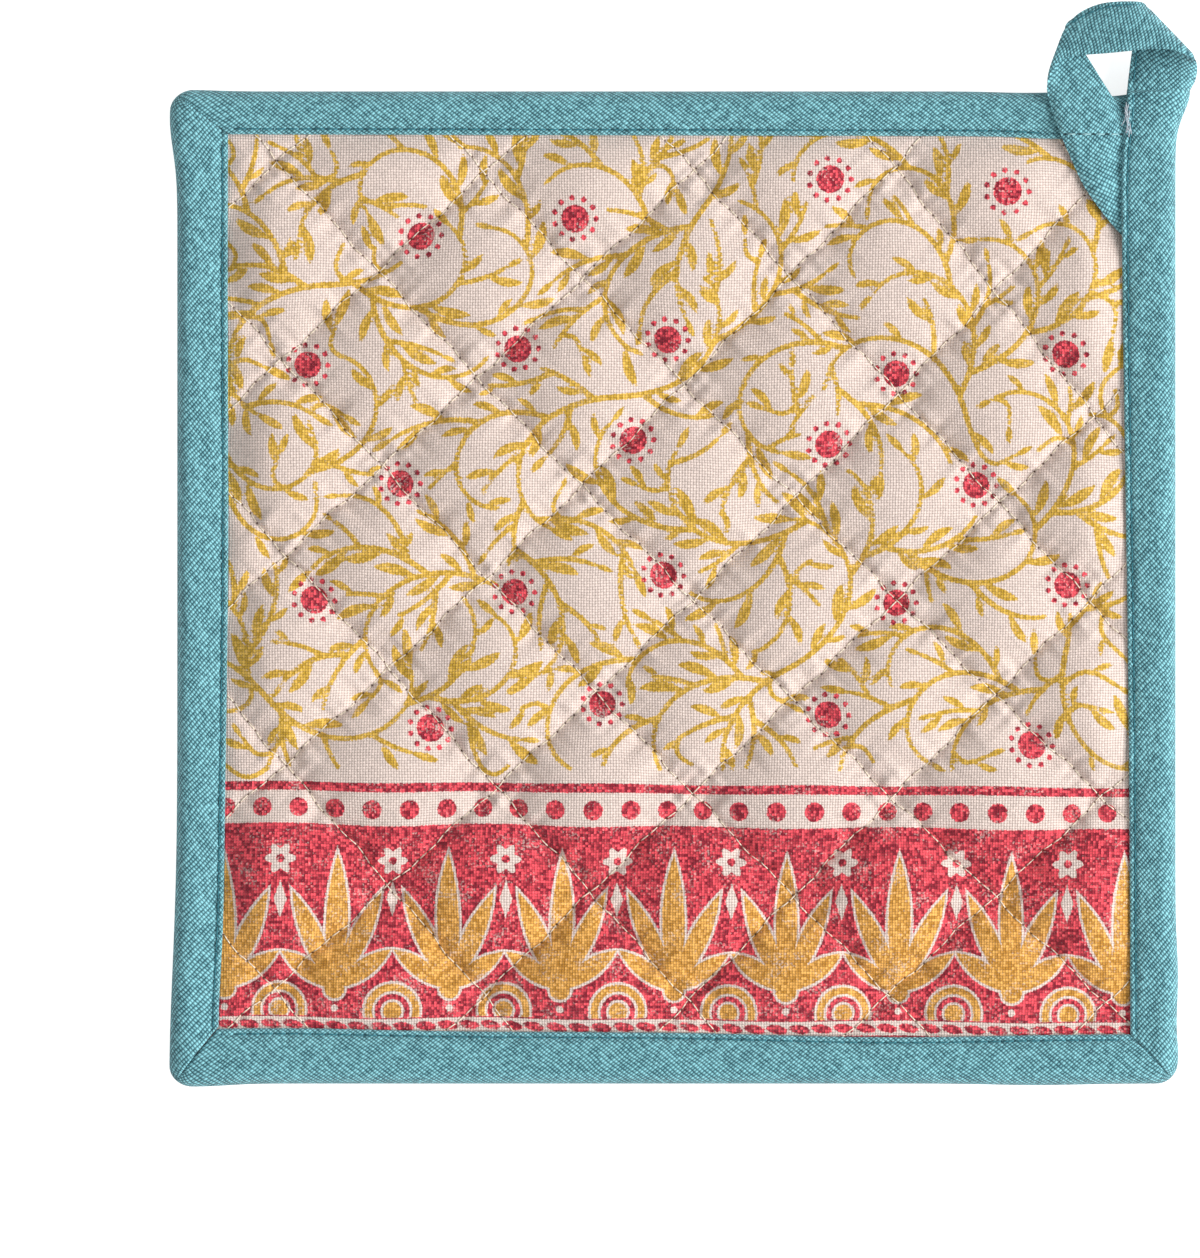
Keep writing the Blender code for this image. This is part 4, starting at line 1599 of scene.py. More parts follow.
@dataclass(frozen=True)
class Tail:
    """The loop's sewn-down end, as what lies under it feels it.

    Attributes:
        strip_top, pressed_top: heights of the binding and of the pad that it presses on.
        step_from, step_over: where it goes down from the one to the other, from the lip.
        sink, sink_from, sink_over: how far it goes down on the right, from what x, how fast.
        clearance: gap under it.
        thick: thickness of the folded strip.
        upper, lower: rows of the loop that its left edge runs through.
        lowest: y that the whole end is above.
    """

    strip_top: float = 6.0
    pressed_top: float = 4.85
    step_from: float = 1.5
    step_over: float = 5.0
    sink: float = 1.5
    sink_from: float = 84.5
    sink_over: float = 4.5
    clearance: float = 0.35
    thick: float = 1.5
    upper: Row = LOOP_ROWS[-6]
    lower: Row = LOOP_ROWS[-2]
    lowest: float = 60.0

    def distance(self, points: np.ndarray) -> np.ndarray:
        """Distance of plan points to the left of the end, 0 or less under it."""
        start = np.array([self.upper.fold_x, self.upper.fold_y])
        run = unit(np.array([self.lower.fold_x, self.lower.fold_y]) - start)
        away = points - start
        return run[1] * away[:, 0] - run[0] * away[:, 1]

    def support(self, points: np.ndarray) -> np.ndarray:
        """Height of what the end lies on."""
        inside = lip_inset(Edge.TOP, points[:, 0]) - (TALL / 2 - points[:, 1])
        share = ease((self.step_from - inside) / self.step_over)
        height = self.strip_top + (self.pressed_top - self.strip_top) * share
        return height - self.sink * ease((points[:, 0] - self.sink_from) / self.sink_over)


TAIL = Tail()


class Mitre(NamedTuple):
    """End of a side: where, how it slants, its crease, and how far it laps over."""

    at: float
    slope: float
    crease: float
    lap: float


class Run(NamedTuple):
    """Sections of a stretch of the strip: their points, and where on the cloth and beside
    the line of top stitches each point is."""

    points: np.ndarray
    places: np.ndarray
    seams: np.ndarray


class Threads(NamedTuple):
    """Directions on the plan, in degrees, of the ribs and of the threads across them, at a
    row of the loop. They jump where the strip turns over."""

    row: float
    rib: float
    cross: float


LOOP_THREADS = (
    Threads(0.0, 49.0, -49.0),
    Threads(3.0, 36.0, -52.0),
    Threads(5.0, 31.0, -53.0),
    Threads(6.9, 31.0, -53.0),
    Threads(7.0, 114.0, 45.0),
    Threads(9.0, 105.0, 42.0),
    Threads(11.0, 101.0, 36.0),
    Threads(13.0, 103.0, 36.0),
    Threads(17.0, 136.0, 46.0),
    Threads(20.0, 138.0, 48.0),
    Threads(22.0, 150.0, 62.0),
    Threads(24.0, 156.0, 68.0),
)


@dataclass(frozen=True)
class BiasStrip:
    """One strip of bias tape: binding on four sides, then the hanging loop.

    Attributes:
        ring_pitch: distance between two sections of the binding.
        first_pitch, pitch_growth: that distance at a mitre, and how it grows from there.
        loop_steps: sections made between two rows of the loop.
        stitch: length of a top stitch.
        stitch_inset: from the lip in to the line of stitches.
        crease_width: half width of a mitre's crease.
        tuck_from, tuck_over: where the top side goes under the right one, and over what length.
        tail_line: height on the plan of the stitches across the loop's end.
        tail_start, tail_stitch, tail_holes: its first needle hole, their pitch and number.
        flat_width, flat_length: size of the strip as it was cut, in metres.
        leg_low, leg_over: height at which the front leg starts, and over what it eases in.
        soft, deep: depth of the crease of a mild and of a sharp mitre.
        lap, lap_reach: height of a mitre's lap, and how far along the side it fades.
        wave: height of the slow waves along a side.
        drag, drag_reach: height of the slanting drags beside the stitches, and their reach.
        hole, hole_width, hole_long: depth of the dip at a needle hole, and its half widths.
        climb_over: distance from a mitre in which the front leg's climb sets in.
        lift_reach: how far in from the lip its lift fades.
        cloth_step: how far apart on the cloth two sides were cut.
        butt: where the top side ends, under the loop.
    """

    ring_pitch: float = 0.68
    first_pitch: float = 0.14
    pitch_growth: float = 0.06
    loop_steps: int = 9
    stitch: float = 2.6
    stitch_inset: float = 1.15
    crease_width: float = 0.28
    tuck_from: float = 86.4
    tuck_over: float = 2.8
    tail_line: float = 90.6
    tail_start: float = 77.7
    tail_stitch: float = 2.8
    tail_holes: int = 5
    flat_width: float = 0.024
    flat_length: float = 0.92
    leg_low: float = 4.2
    leg_over: float = 1.2
    soft: float = 0.38
    deep: float = 0.6
    lap: float = 0.12
    lap_reach: float = 3.0
    wave: float = 0.09
    drag: float = 0.06
    drag_reach: float = 3.0
    hole: float = 0.2
    hole_width: float = 0.4
    hole_long: float = 0.55
    climb_over: float = 15.0
    lift_reach: float = 3.2
    cloth_step: float = 61.7
    butt: float = 93.0

    @staticmethod
    def section() -> np.ndarray:
        """Share between lip and fold, offset outwards, and height of each section point."""
        table = np.array([
            (turn.anchor.value, turn.distance * (1.0 - 2.0 * turn.anchor.value), turn.z)
            for turn in SECTION
        ])
        after = np.roll(table, -1, axis=0)
        return np.stack([0.75 * table + 0.25 * after, 0.25 * table + 0.75 * after],
                        axis=1).reshape(-1, 3)

    def side_places(self, travel: np.ndarray, width: np.ndarray, lean: float) -> np.ndarray:
        """Where on the cloth a side's points are, in the directions that its threads take.

        Args:
            travel: how far along the strip each point is.
            width: width of the strip's front leg there.
            lean: how far its threads lean from straight across the strip, in degrees.

        Returns:
            A place for each point of each section.
        """
        section = self.section()
        flat = section[:, 0] * width.mean(axis=1, keepdims=True) + section[:, 1]
        steps = np.hypot(np.diff(flat, axis=1), np.diff(section[:, 2]))
        around = np.concatenate([np.zeros_like(flat[:, :1]), np.cumsum(steps, axis=1)], axis=1)
        along = travel / (ROOT2 * math.sin(math.radians(lean)))
        across = (around - around[:, -1:] / 2) / (ROOT2 * math.cos(math.radians(lean)))
        return pair(along, across)

    def loop_places(self, points: np.ndarray) -> np.ndarray:
        """Where on the cloth the loop's points are, laid out along its middle.

        Args:
            points: points of its sections.

        Returns:
            A place for each point of each section.
        """
        knots, ribs, crosses = np.array(LOOP_THREADS).T
        rows = np.arange(len(points)) / self.loop_steps
        rib = np.radians(np.interp(rows, knots, ribs))
        cross = np.radians(np.interp(rows, knots, crosses))
        over_ribs = np.stack([np.sin(rib), -np.cos(rib)], axis=-1) / np.sin(rib - cross)[:, None]
        on_ribs = np.stack([-np.sin(cross), np.cos(cross)], axis=-1) / np.sin(rib - cross)[:, None]
        middle = points[..., :2].mean(axis=1)
        offsets = points[..., :2] - middle[:, None, :]
        steps = np.diff(middle, axis=0, prepend=middle[:1])
        over, on = (
            np.cumsum((steps * onto).sum(axis=1))[:, None]
            + (offsets * onto[:, None, :]).sum(axis=2)
            for onto in (over_ribs, on_ribs)
        )
        return pair((on - over) / ROOT2, (on + over) / ROOT2)

    def ring_shares(self, length: float) -> np.ndarray:
        """Shares of a side's length at which its sections stand, closer near its ends."""
        steps = self.first_pitch + self.pitch_growth * np.arange(int(length / self.ring_pitch))
        places = np.cumsum(np.minimum(steps, self.ring_pitch))
        places = places[places < length / 2 - self.first_pitch] / length
        return np.concatenate([[0.0], places, [0.5], 1.0 - places[::-1], [1.0]])

    def insets(self, edge: Edge, at: np.ndarray) -> tuple[np.ndarray, np.ndarray]:
        """Width of the front leg at places along a side, and each section point's inset."""
        section = self.section()
        width = lip_inset(edge, at)
        return width, (1.0 - section[:, 0]) * width - section[:, 1]

    def side_rings(self, edge: Edge, start: Mitre, end: Mitre) -> Run:
        """Sections of one side between its two ends.

        Args:
            edge: which side.
            start: where the side starts, counted along it.
            end: where it ends.

        Returns:
            The sections.
        """
        side = edge.value
        share = self.ring_shares(end.at - start.at)[:, None]
        inset = self.insets(edge, start.at + (end.at - start.at) * share)[1]
        first = start.at + inset * start.slope
        last = end.at - inset * end.slope
        at = first * (1.0 - share) + last * share
        width, inset = self.insets(edge, at)
        plain = side.plan(at, inset)
        plan = on_outline(plain.reshape(-1, 2)).reshape(plain.shape)
        z = self.section()[:, 2] + np.zeros_like(at)
        from_lip = width - inset
        from_seam = from_lip - self.stitch_inset
        top = ease((z - self.leg_low) / self.leg_over)
        for near, mitre in ((at - first, start), (last - at, end)):
            z = z + top * mitre.lap * np.exp(-near / self.lap_reach)
            z = z - top * mitre.crease * hump(near, self.crease_width)
        waves = np.sin(0.11 * at + 2.0 * side.half) + np.sin(0.23 * at + inset)
        z = z + top * self.wave * waves
        drag = np.sin(1.25 * (at + 0.8 * from_lip)) + np.sin(0.83 * (at - 0.6 * from_lip) + 1.3)
        z = z + top * self.drag * drag * np.exp(-np.abs(from_lip - 1.5) / self.drag_reach)
        near_hole = hump(from_hole(at / self.stitch, self.stitch), self.hole_long)
        z = z - top * self.hole * hump(from_seam, self.hole_width) * near_hole
        climb = side.rise * ease(np.minimum(at - first, last - at) / self.climb_over)
        z = z + top * climb * np.maximum(from_seam, 0.0)
        if edge is Edge.RIGHT:
            z = z + top * self.lip_lift(at) * np.exp(-np.maximum(from_lip, 0.0) / self.lift_reach)
        if edge is Edge.TOP:
            tucked = ease((at - self.tuck_from) / self.tuck_over)
            z = z + (SLOT_MIDDLE - z) * 0.5 * tucked
        points = np.concatenate([plan, z[..., None]], axis=-1)
        travel = (-at if side.reverse else at) + self.cloth_step * list(Edge).index(edge)
        places = self.side_places(travel, width, side.lean)
        run = Run(points, places, pair(from_seam, at / self.stitch))
        return Run(*(part[::-1] for part in run)) if side.reverse else run

    @staticmethod
    def lip_lift(at: np.ndarray) -> np.ndarray:
        """How far the right side's lip stands up where the loop's end goes under it."""
        return 0.95 * ease((at - 66.0) / 5.0) * ease((101.0 - at) / 4.0)

    def loop_rows(self) -> np.ndarray:
        """The loop's rows with smooth ones made between them."""
        table = np.array(LOOP_ROWS)
        runs = [
            math.sqrt(np.linalg.norm(b[0:3] - a[0:3]) + np.linalg.norm(b[3:6] - a[3:6]))
            for a, b in zip(table, table[1:])
        ]
        knots = np.concatenate([[0.0], np.cumsum(runs)])
        slopes = np.gradient(table, knots, axis=0)
        slopes[1:-1] = (table[2:] - table[:-2]) / (knots[2:] - knots[:-2])[:, None]
        rows = []
        for number in range(len(table) - 1):
            span = knots[number + 1] - knots[number]
            for step in range(self.loop_steps):
                share = step / self.loop_steps
                square, cube = share ** 2, share ** 3
                rows.append(
                    table[number] * (2 * cube - 3 * square + 1)
                    + table[number + 1] * (3 * square - 2 * cube)
                    + slopes[number] * span * (cube - 2 * square + share)
                    + slopes[number + 1] * span * (cube - square)
                )
        rows.append(table[-1])
        return np.array(rows)

    def loop_surface(self, section: np.ndarray) -> tuple[np.ndarray, np.ndarray]:
        """Where the points of a section lie on each row of the loop.

        Args:
            section: share between lip and fold, offset outwards, and height of each.

        Returns:
            The points, and the direction out of the strip's front at each.
        """
        rows = self.loop_rows()
        fold, lip = rows[:, 0:3], rows[:, 3:6]
        width = np.linalg.norm(fold - lip, axis=1)
        along_cross = section[:, 0] + section[:, 1] / width[:, None]
        middle = lip[:, None, :] + (fold - lip)[:, None, :] * along_cross[..., None]
        thick = rows[:, 6][:, None]
        laid = np.clip(rows[:, 7], 0.0, 1.0)[:, None]
        flat = middle[..., :2].reshape(-1, 2)
        resting = TAIL.support(flat).reshape(middle.shape[:2]) + TAIL.clearance + thick / 2
        from_line = middle[..., 1] - self.tail_line
        dimple = 0.5 * hump(from_line, 0.7) * (laid > 0.5)
        pucker = 0.13 * np.sin(1.9 * middle[..., 0]) * np.exp(-np.abs(from_line) / 5.0)
        middle[..., 2] += (resting - dimple + pucker - middle[..., 2]) * laid
        along = np.gradient(middle, axis=0)
        along[..., 2] *= 1.0 - ease((thick - 1.5) / 1.5)
        across = np.broadcast_to(unit(fold - lip)[:, None, :], middle.shape)
        normal = unit(np.cross(across, along))
        opened = 0.05 + 0.75 * np.maximum(thick - 1.5, 0.0) / 2.0
        leg = thick / 2 - opened
        z = section[:, 2]
        half = (SLOT_HIGH - SLOT_LOW) / 2
        height = np.where(
            z > SLOT_HIGH, opened + (z - SLOT_HIGH) / 1.42 * leg,
            np.where(z < SLOT_LOW, -opened - (SLOT_LOW - z) / 1.2 * leg,
                     (z - SLOT_MIDDLE) / half * opened),
        )
        return middle + normal * height[..., None], normal

    def loop_travel(self) -> np.ndarray:
        """How far along the right side's line each row of the loop is."""
        rows = self.loop_rows()
        centre = (rows[:, 0:3] + rows[:, 3:6]) / 2
        steps = np.linalg.norm(np.diff(centre, axis=0), axis=1)
        return TALL / 2 + np.concatenate([[0.15], np.cumsum(steps)])

    def loop_rings(self, before: np.ndarray) -> Run:
        """Sections of the loop.

        Args:
            before: places on the cloth of the section that it starts from.

        Returns:
            The sections.
        """
        section = self.section()
        rows = self.loop_rows()
        width = np.linalg.norm(rows[:, 0:3] - rows[:, 3:6], axis=1)[:, None]
        travel = self.loop_travel()[:, None]
        points = self.loop_surface(section)[0]
        places = self.loop_places(points)
        crown = int(section[:, 2].argmax())
        places = places + before[crown] - places[0, crown]
        from_lip = section[:, 0] * width + section[:, 1]
        return Run(points, places, pair(from_lip - self.stitch_inset, travel / self.stitch))

    def mitre(self, edge: Edge, other: Edge, end: float, crease: float,
              lap: float = 0.0) -> Mitre:
        """The slanted end of a side, where it meets another in a corner."""
        own = float(lip_inset(edge, np.array([end * (half_length(edge) - 9.5)]))[0])
        sign = 1.0 if sum(edge.value.normal) > 0 else -1.0
        their = float(lip_inset(other, np.array([sign * (half_length(other) - 9.5)]))[0])
        return Mitre(end * half_length(edge), their / own, crease, lap)

    def runs(self) -> list[Run]:
        """Runs of sections, one for each side, the last with the loop."""
        butt = Mitre(self.butt, 0.0, 0.0, 0.0)
        root = Mitre(TALL / 2, 0.0, 0.0, 0.0)
        top = self.side_rings(
            Edge.TOP, self.mitre(Edge.TOP, Edge.LEFT, -1, self.soft), butt)
        left = self.side_rings(
            Edge.LEFT, self.mitre(Edge.LEFT, Edge.BOTTOM, -1, self.deep, self.lap),
            self.mitre(Edge.LEFT, Edge.TOP, 1, self.soft))
        bottom = self.side_rings(
            Edge.BOTTOM, self.mitre(Edge.BOTTOM, Edge.LEFT, -1, self.deep),
            self.mitre(Edge.BOTTOM, Edge.RIGHT, 1, self.deep))
        right = self.side_rings(
            Edge.RIGHT, self.mitre(Edge.RIGHT, Edge.BOTTOM, -1, self.deep, self.lap), root)
        loop = self.loop_rings(right.places[-1])
        whole = Run(*(np.concatenate(parts) for parts in zip(right, loop)))
        return [top, left, bottom, whole]

    def tail_seam(self, points: np.ndarray) -> np.ndarray:
        """Distance from the stitches across the loop's end, and place along them in stitches."""
        away = np.where(points[:, 2] < SLOT_MIDDLE, 99.0, points[:, 1] - self.tail_line)
        along = (points[:, 0] - self.tail_start) / self.tail_stitch
        along = np.clip(along, -0.5, self.tail_holes - 0.5)
        return pair(away, along)

    def build(self, shaders: Shaders) -> bpy.types.Object:
        """Make the strip and dress it."""
        runs = self.runs()
        faces = []
        start = 0
        for run in runs:
            rings, around = run.points.shape[:2]
            faces += ring_faces(rings, around, start)
            start += rings * around
        points, places, seams = (
            np.concatenate([part.reshape(-1, 3) for part in parts]) for parts in zip(*runs)
        )
        canvas = BiasCanvas("bias_cotton", relief=0.2, sheen=0.2).make(shaders)
        piece = make_piece(
            "bias_strip", points, faces, [canvas],
            {"strip_place": places, "strip_seam": seams, "tail_seam": self.tail_seam(points)},
        )
        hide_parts("binding", "hanging_loop")
        return piece


# --- Sewing -------------------------------------------------------------------------------

@dataclass(frozen=True)
class Stitches:
    """Threads that lie on cloth between needle holes, as one joined mesh.

    Attributes:
        name: name of the piece.
        radius: half the thread's thickness.
        sides: faces round a thread.
        dip: how deep its ends go into the cloth.
        proud: height of its middle over the cloth, in radii.
    """

    name: str
    radius: float = 0.125
    sides: int = 6
    dip: float = 0.45
    proud: float = 1.5

    def tubes(self, starts: np.ndarray, ends: np.ndarray, ups: np.ndarray, rise: np.ndarray,
              material: bpy.types.Material) -> bpy.types.Object:
        """Make a thread from each start to its end.

        Args:
            starts: points on the cloth where the threads come up.
            ends: points where they go down.
            ups: direction out of the cloth at each.
            rise: height of the cloth between the two over their mean.
            material: the thread's material.

        Returns:
            The piece.
        """
        share = np.array([0.0, 0.07, 0.2, 0.5, 0.8, 0.93, 1.0])
        lift = np.array([-self.dip, 0.0, 0.85, 1.0, 0.85, 0.0, -self.dip])
        over = np.where(lift > 0, lift * (self.radius * self.proud + rise[:, None]), lift)
        path = starts[:, None, :] + (ends - starts)[:, None, :] * share[:, None]
        path = path + ups[:, None, :] * over[..., None]
        along = unit(np.gradient(path, axis=1))
        side = unit(np.cross(along, ups[:, None, :]))
        upper = np.cross(side, along)
        turn = np.arange(self.sides) * math.tau / self.sides
        cosine, sine = np.cos(turn)[:, None], np.sin(turn)[:, None]
        ring = side[:, :, None, :] * cosine + upper[:, :, None, :] * sine
        points = path[:, :, None, :] + ring * self.radius
        count, rows, around = points.shape[:3]
        faces = []
        for number in range(count):
            faces += ring_faces(rows, around, number * rows * around)
        length = np.linalg.norm(ends - starts, axis=1)
        place = np.zeros(points.shape)
        place[..., 0] = (share * length[:, None])[..., None]
        place[..., 1] = turn
        return make_piece(
            self.name, points.reshape(-1, 3), faces, [material],
            {"thread_place": place.reshape(-1, 3)},
        )


class SewnLine(NamedTuple):
    """Needle holes of a sewn line, in order, and the direction out of the cloth at each."""

    holes: np.ndarray
    ups: np.ndarray


class Fibre(NamedTuple):
    """A loose fibre: where it starts and ends on the plan, its height, and how it arches."""

    start_x: float
    start_y: float
    end_x: float
    end_y: float
    z: float
    arch: float


FRAYED = (
    Fibre(90.4, 96.8, 89.5, 93.4, 6.4, 0.5),
    Fibre(90.6, 95.6, 90.1, 91.9, 6.3, 0.7),
    Fibre(90.2, 94.6, 88.9, 92.2, 6.2, 0.4),
    Fibre(90.5, 93.2, 90.9, 90.6, 6.4, 0.6),
    Fibre(90.8, 92.4, 89.7, 90.9, 6.3, 0.5),
    Fibre(89.9, 97.0, 89.8, 95.2, 6.4, 0.5),
    Fibre(89.6, 96.0, 89.9, 93.9, 6.3, 0.6),
    Fibre(90.2, 95.4, 89.9, 93.0, 6.5, 0.5),
    Fibre(89.9, 94.2, 90.3, 91.9, 6.4, 0.6),
    Fibre(90.1, 92.9, 90.0, 90.7, 6.4, 0.4),
    Fibre(90.5, 91.9, 90.4, 90.0, 6.3, 0.5),
    Fibre(89.5, 94.9, 90.2, 94.4, 6.5, 0.6),
    Fibre(89.8, 91.6, 90.9, 91.3, 6.5, 0.5),
)
UP = np.array([0.0, 0.0, 1.0])


@dataclass(frozen=True)
class Sewing:
    """All the threads that show.

    Attributes:
        quilt: the pad that the diamonds are sewn through.
        front_z, back_z: heights of the binding's faces at its line of stitches.
        tail_sink: how deep the stitches across the loop's end sink into it.
        tail_rise: how far the thread across it stands up from its dimple.
    """

    quilt: QuiltShape = QuiltShape()
    front_z: float = 5.28
    back_z: float = 0.38
    tail_sink: float = 0.42
    tail_rise: float = 0.22

    def seam_points(self, family: tuple[Seam, ...], number: int,
                    along: np.ndarray) -> np.ndarray:
        """Plan points on a sewn line, at places along it."""
        offset = place_between(family, np.full(len(along), float(number)), along)
        return on_plan(offset, along) if family is RISING else on_plan(-along, offset)

    def diamonds(self, back: bool) -> tuple[np.ndarray, np.ndarray]:
        """Plan points where the stitches of the diamonds start and end on one face."""
        starts, ends = [], []
        for family in (RISING, FALLING):
            for number in range(1, len(family) - 1):
                count = np.arange(-60, 60)
                along = (count - number * self.quilt.phase) * self.quilt.stitch
                points = self.seam_points(family, number, along)
                keep = lip_depth(points) > -1.5
                if not back:
                    keep &= ~((TAIL.distance(points) < -1.0) & (points[:, 1] > TAIL.lowest))
                keep = keep[:-1] & keep[1:]
                starts.append(points[:-1][keep])
                ends.append(points[1:][keep])
        start, end = np.concatenate(starts), np.concatenate(ends)
        gap = (end - start) * 0.06
        return start + gap, end - gap

    def quilting(self) -> list[bpy.types.Object]:
        """Threads of the diamonds, on both faces."""
        thread = SewingThread("quilting_thread").make()
        made = []
        for name, back, sides in (("quilting_stitches", False, 6), ("back_stitches", True, 4)):
            height = self.quilt.back if back else self.quilt.front
            up = -UP if back else UP
            start, end = self.diamonds(back)
            ends_z = (height(start) + height(end)) / 2
            rise = np.maximum((height((start + end) / 2) - ends_z) * up[2], 0.0)
            made.append(Stitches(name, sides=sides).tubes(
                np.column_stack([start, height(start)]),
                np.column_stack([end, height(end)]),
                np.tile(up, (len(start), 1)), rise, thread,
            ))
        return made

    def side_line(self, edge: Edge, strip: BiasStrip, back: bool) -> SewnLine:
        """Top stitches along one side's lip, on one face."""
        side = edge.value
        limit = half_length(edge) - 10.5
        stop = 75.0 if edge is Edge.TOP and not back else limit
        stop = half_length(edge) if edge is Edge.RIGHT else stop
        holes = np.arange(math.ceil(-limit / strip.stitch), int(stop / strip.stitch) + 1)
        at = holes * strip.stitch
        plan = side.plan(at, lip_inset(edge, at) - strip.stitch_inset)
        z = np.full(len(at), self.back_z if back else self.front_z)
        if edge is Edge.RIGHT and not back:
            z = z + 0.71 * strip.lip_lift(at)
        up = -UP if back else UP
        return SewnLine(np.column_stack([plan, z]), np.tile(up, (len(at), 1)))

    def loop_line(self, strip: BiasStrip, back: bool) -> SewnLine:
        """Top stitches along the loop's lip, on one face."""
        z = self.back_z if back else self.front_z
        points, normals = strip.loop_surface(np.array([[0.0, strip.stitch_inset, z]]))
        travel = strip.loop_travel()
        last = 22.4 if back else 17.0
        end = travel[int(last * strip.loop_steps)]
        holes = np.arange(math.ceil(travel[0] / strip.stitch), int(end / strip.stitch))
        holes = holes * strip.stitch
        along = [
            np.stack([np.interp(holes, travel, values[:, 0, axis]) for axis in range(3)], axis=-1)
            for values in (points, normals)
        ]
        return SewnLine(along[0], unit(along[1]) * (-1.0 if back else 1.0))

    def tail_line(self, strip: BiasStrip) -> SewnLine:
        """Stitches that hold the loop's end down on the binding."""
        x = strip.tail_start + strip.tail_stitch * np.arange(strip.tail_holes)
        plan = np.stack([x, np.full(len(x), strip.tail_line)], axis=-1)
        z = TAIL.support(plan) + TAIL.clearance + TAIL.thick - self.tail_sink
        return SewnLine(np.column_stack([plan, z]), np.tile(UP, (len(x), 1)))

    def binding(self, strip: BiasStrip) -> bpy.types.Object:
        """Top stitches of the binding and the loop."""
        lines = [self.side_line(edge, strip, back) for edge in Edge for back in (False, True)]
        lines += [self.loop_line(strip, False), self.loop_line(strip, True)]
        finish = SewingThread("binding_thread", colour=(0.035, 0.200, 0.250, 1.0))
        return self.sew("binding_stitches", lines, 0.10, 0.05, finish)

    def tail(self, strip: BiasStrip) -> bpy.types.Object:
        """Paler stitches across the loop's end."""
        finish = SewingThread("tail_thread", colour=(0.40, 0.68, 0.72, 1.0))
        return self.sew("tail_stitches", [self.tail_line(strip)], 0.2, self.tail_rise, finish)

    @staticmethod
    def sew(name: str, lines: list[SewnLine], gap: float, rise: float,
            finish: SewingThread) -> bpy.types.Object:
        """Sew lines with a thread, which leaves this share of a stitch free at each end."""
        start = np.concatenate([line.holes[:-1] for line in lines])
        end = np.concatenate([line.holes[1:] for line in lines])
        ups = np.concatenate([line.ups[:-1] for line in lines])
        free = (end - start) * gap
        return Stitches(name, radius=0.15, proud=0.9).tubes(
            start + free, end - free, ups, np.full(len(start), rise), finish.make())

    def frayed(self) -> bpy.types.Object:
        """Pale fibres that stick out where the loop's end was cut."""
        table = np.array(FRAYED)
        start = table[:, [0, 1, 4]]
        end = table[:, [2, 3, 4]]
        thread = SewingThread("loose_fibre", colour=(0.60, 0.67, 0.74, 1.0)).make()
        return Stitches("frayed_fibres", radius=0.11, sides=5, dip=0.6).tubes(
            start, end, np.tile(UP, (len(start), 1)), table[:, 5], thread)


# --- Studio -------------------------------------------------------------------------------

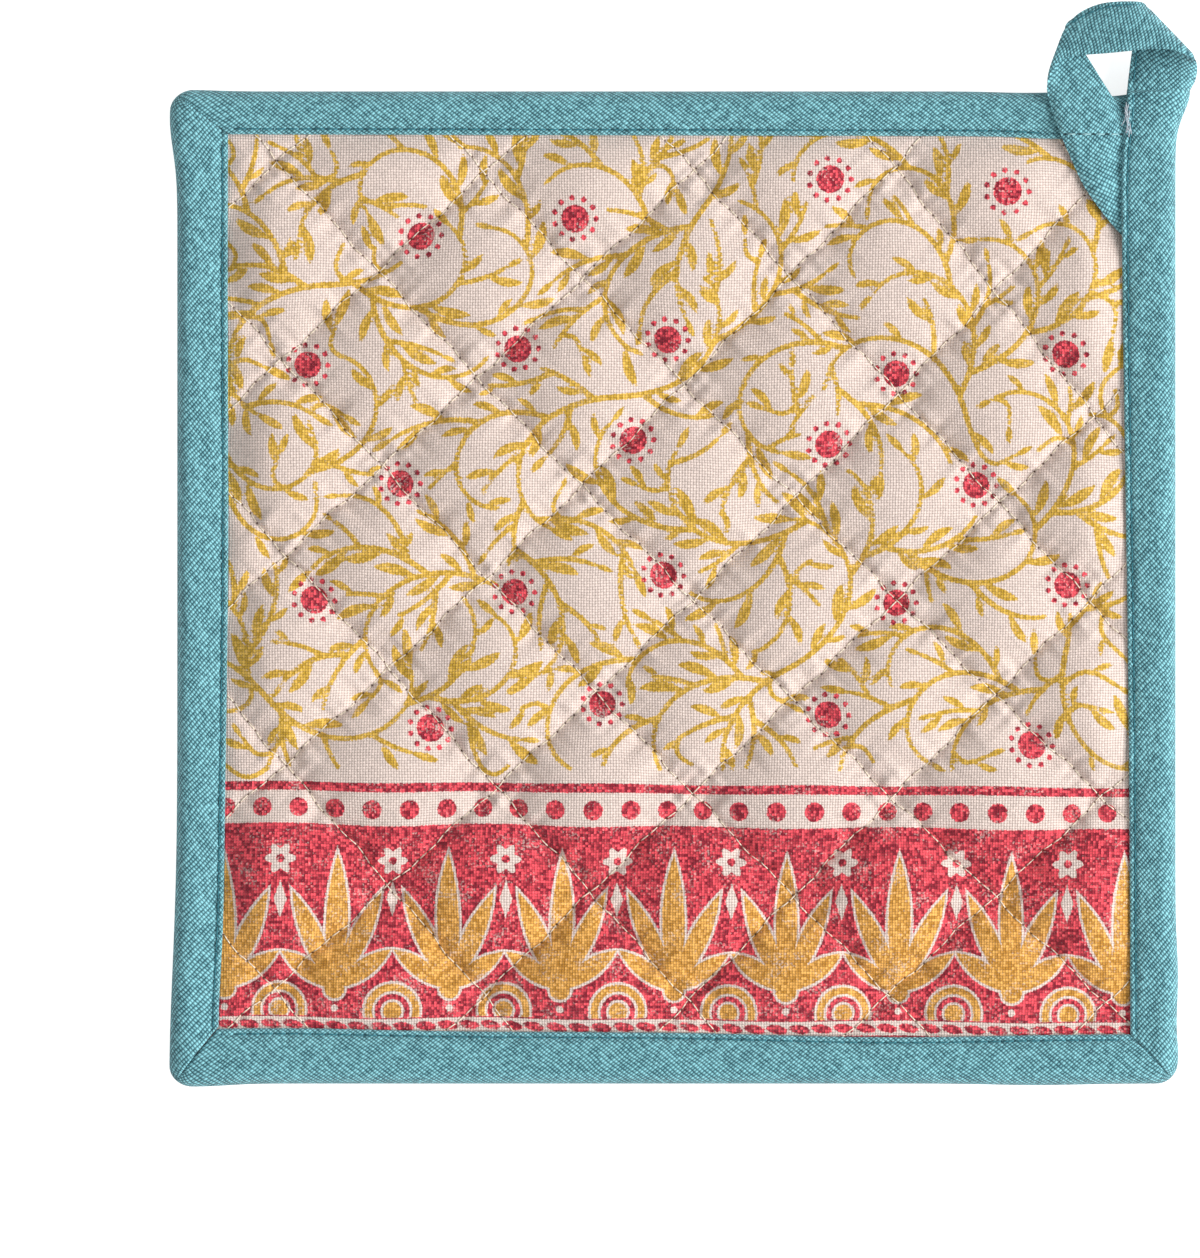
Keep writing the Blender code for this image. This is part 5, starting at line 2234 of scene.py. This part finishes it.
@dataclass(frozen=True)
class Studio:
    """Pale floor, soft light from the right and a camera straight above.

    Attributes:
        view_middle: what the picture's middle shows, from the middle of the square.
        view_tall: height of what the picture shows.
        lens, sensor: focal length and width of the sensor.
        view_level: height at which the picture's scale holds.
        sky: strength of the light from all round.
        key: power of the soft light, in watts.
        key_size, key_place: width and height of that light, and where it is, in metres.
        key_tilt, key_turn: how far it is tilted from the upright and turned, in degrees.
        floor_half, floor_drop: half the floor's width and how far down it is, in metres.
        floor_glow: how much brighter the camera sees the floor than it is lit.
    """

    view_middle: tuple[float, float] = (-15.3, -8.3)
    view_tall: float = 251.6
    lens: float = 500.0
    sensor: float = 36.0
    view_level: float = 4.5
    sky: float = 0.56
    key: float = 99.0
    key_size: tuple[float, float] = (1.65, 2.4)
    key_place: tuple[float, float, float] = (2.40, -0.36, 1.56)
    key_tilt: float = 57.0
    key_turn: float = -8.5
    floor_half: float = 2.5
    floor_drop: float = 0.0002
    floor_glow: float = 0.75

    def floor(self) -> None:
        """A wide pale floor under the holder."""
        half = self.floor_half
        mesh = bpy.data.meshes.new("floor")
        corners = [(-half, -half, 0.0), (half, -half, 0.0), (half, half, 0.0), (-half, half, 0.0)]
        mesh.from_pydata(corners, [], [(0, 1, 2, 3)])
        material, wiring = new_material(
            "pale_floor", Base_Color=(0.80, 0.80, 0.80, 1.0), Roughness=0.9,
            Specular_IOR_Level=0.1, Emission_Color=(1.0, 1.0, 1.0, 1.0),
        )
        path = wiring.node("ShaderNodeLightPath")
        seen = Signal(wiring, path.outputs["Is Camera Ray"])
        wiring.shade(Emission_Strength=seen * self.floor_glow)
        mesh.materials.append(material)
        floor = bpy.data.objects.new("floor", mesh)
        floor.location = (0.0, 0.0, -self.floor_drop)
        bpy.context.scene.collection.objects.link(floor)

    def lights(self) -> None:
        """Even light from all round, and a large soft light low on the right."""
        world = bpy.data.worlds.new("studio")
        world.use_nodes = True
        world.node_tree.nodes["Background"].inputs["Color"].default_value = (1, 1, 1, 1)
        world.node_tree.nodes["Background"].inputs["Strength"].default_value = self.sky
        bpy.context.scene.world = world
        light = bpy.data.lights.new("key", "AREA")
        light.shape = "RECTANGLE"
        light.size, light.size_y = self.key_size
        light.energy = self.key
        lamp = bpy.data.objects.new("key", light)
        lamp.location = self.key_place
        lamp.rotation_euler = (0.0, math.radians(self.key_tilt), math.radians(self.key_turn))
        bpy.context.scene.collection.objects.link(lamp)

    def camera(self) -> None:
        """A long lens straight above."""
        data = bpy.data.cameras.new("camera")
        data.lens = self.lens
        data.sensor_width = self.sensor
        distance = self.view_tall * self.lens / self.sensor
        camera = bpy.data.objects.new("camera", data)
        camera.location = (
            (self.view_middle[0] + SQUARE_MIDDLE[0]) * MM,
            (self.view_middle[1] + SQUARE_MIDDLE[1]) * MM,
            (distance + self.view_level) * MM,
        )
        data.clip_end = 20.0
        bpy.context.scene.collection.objects.link(camera)
        bpy.context.scene.camera = camera

    def build(self) -> None:
        """Set the scene."""
        self.floor()
        self.lights()
        self.camera()
        bpy.context.scene.view_settings.view_transform = "Standard"


def main() -> None:
    """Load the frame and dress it."""
    logging.basicConfig(level=logging.INFO, format="%(message)s")
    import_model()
    Studio().build()
    shaders = Shaders()
    QuiltedPad().build(shaders)
    strip = BiasStrip()
    strip.build(shaders)
    sewing = Sewing()
    sewing.quilting()
    sewing.binding(strip)
    sewing.tail(strip)
    sewing.frayed()


if __name__ == "__main__":
    main()
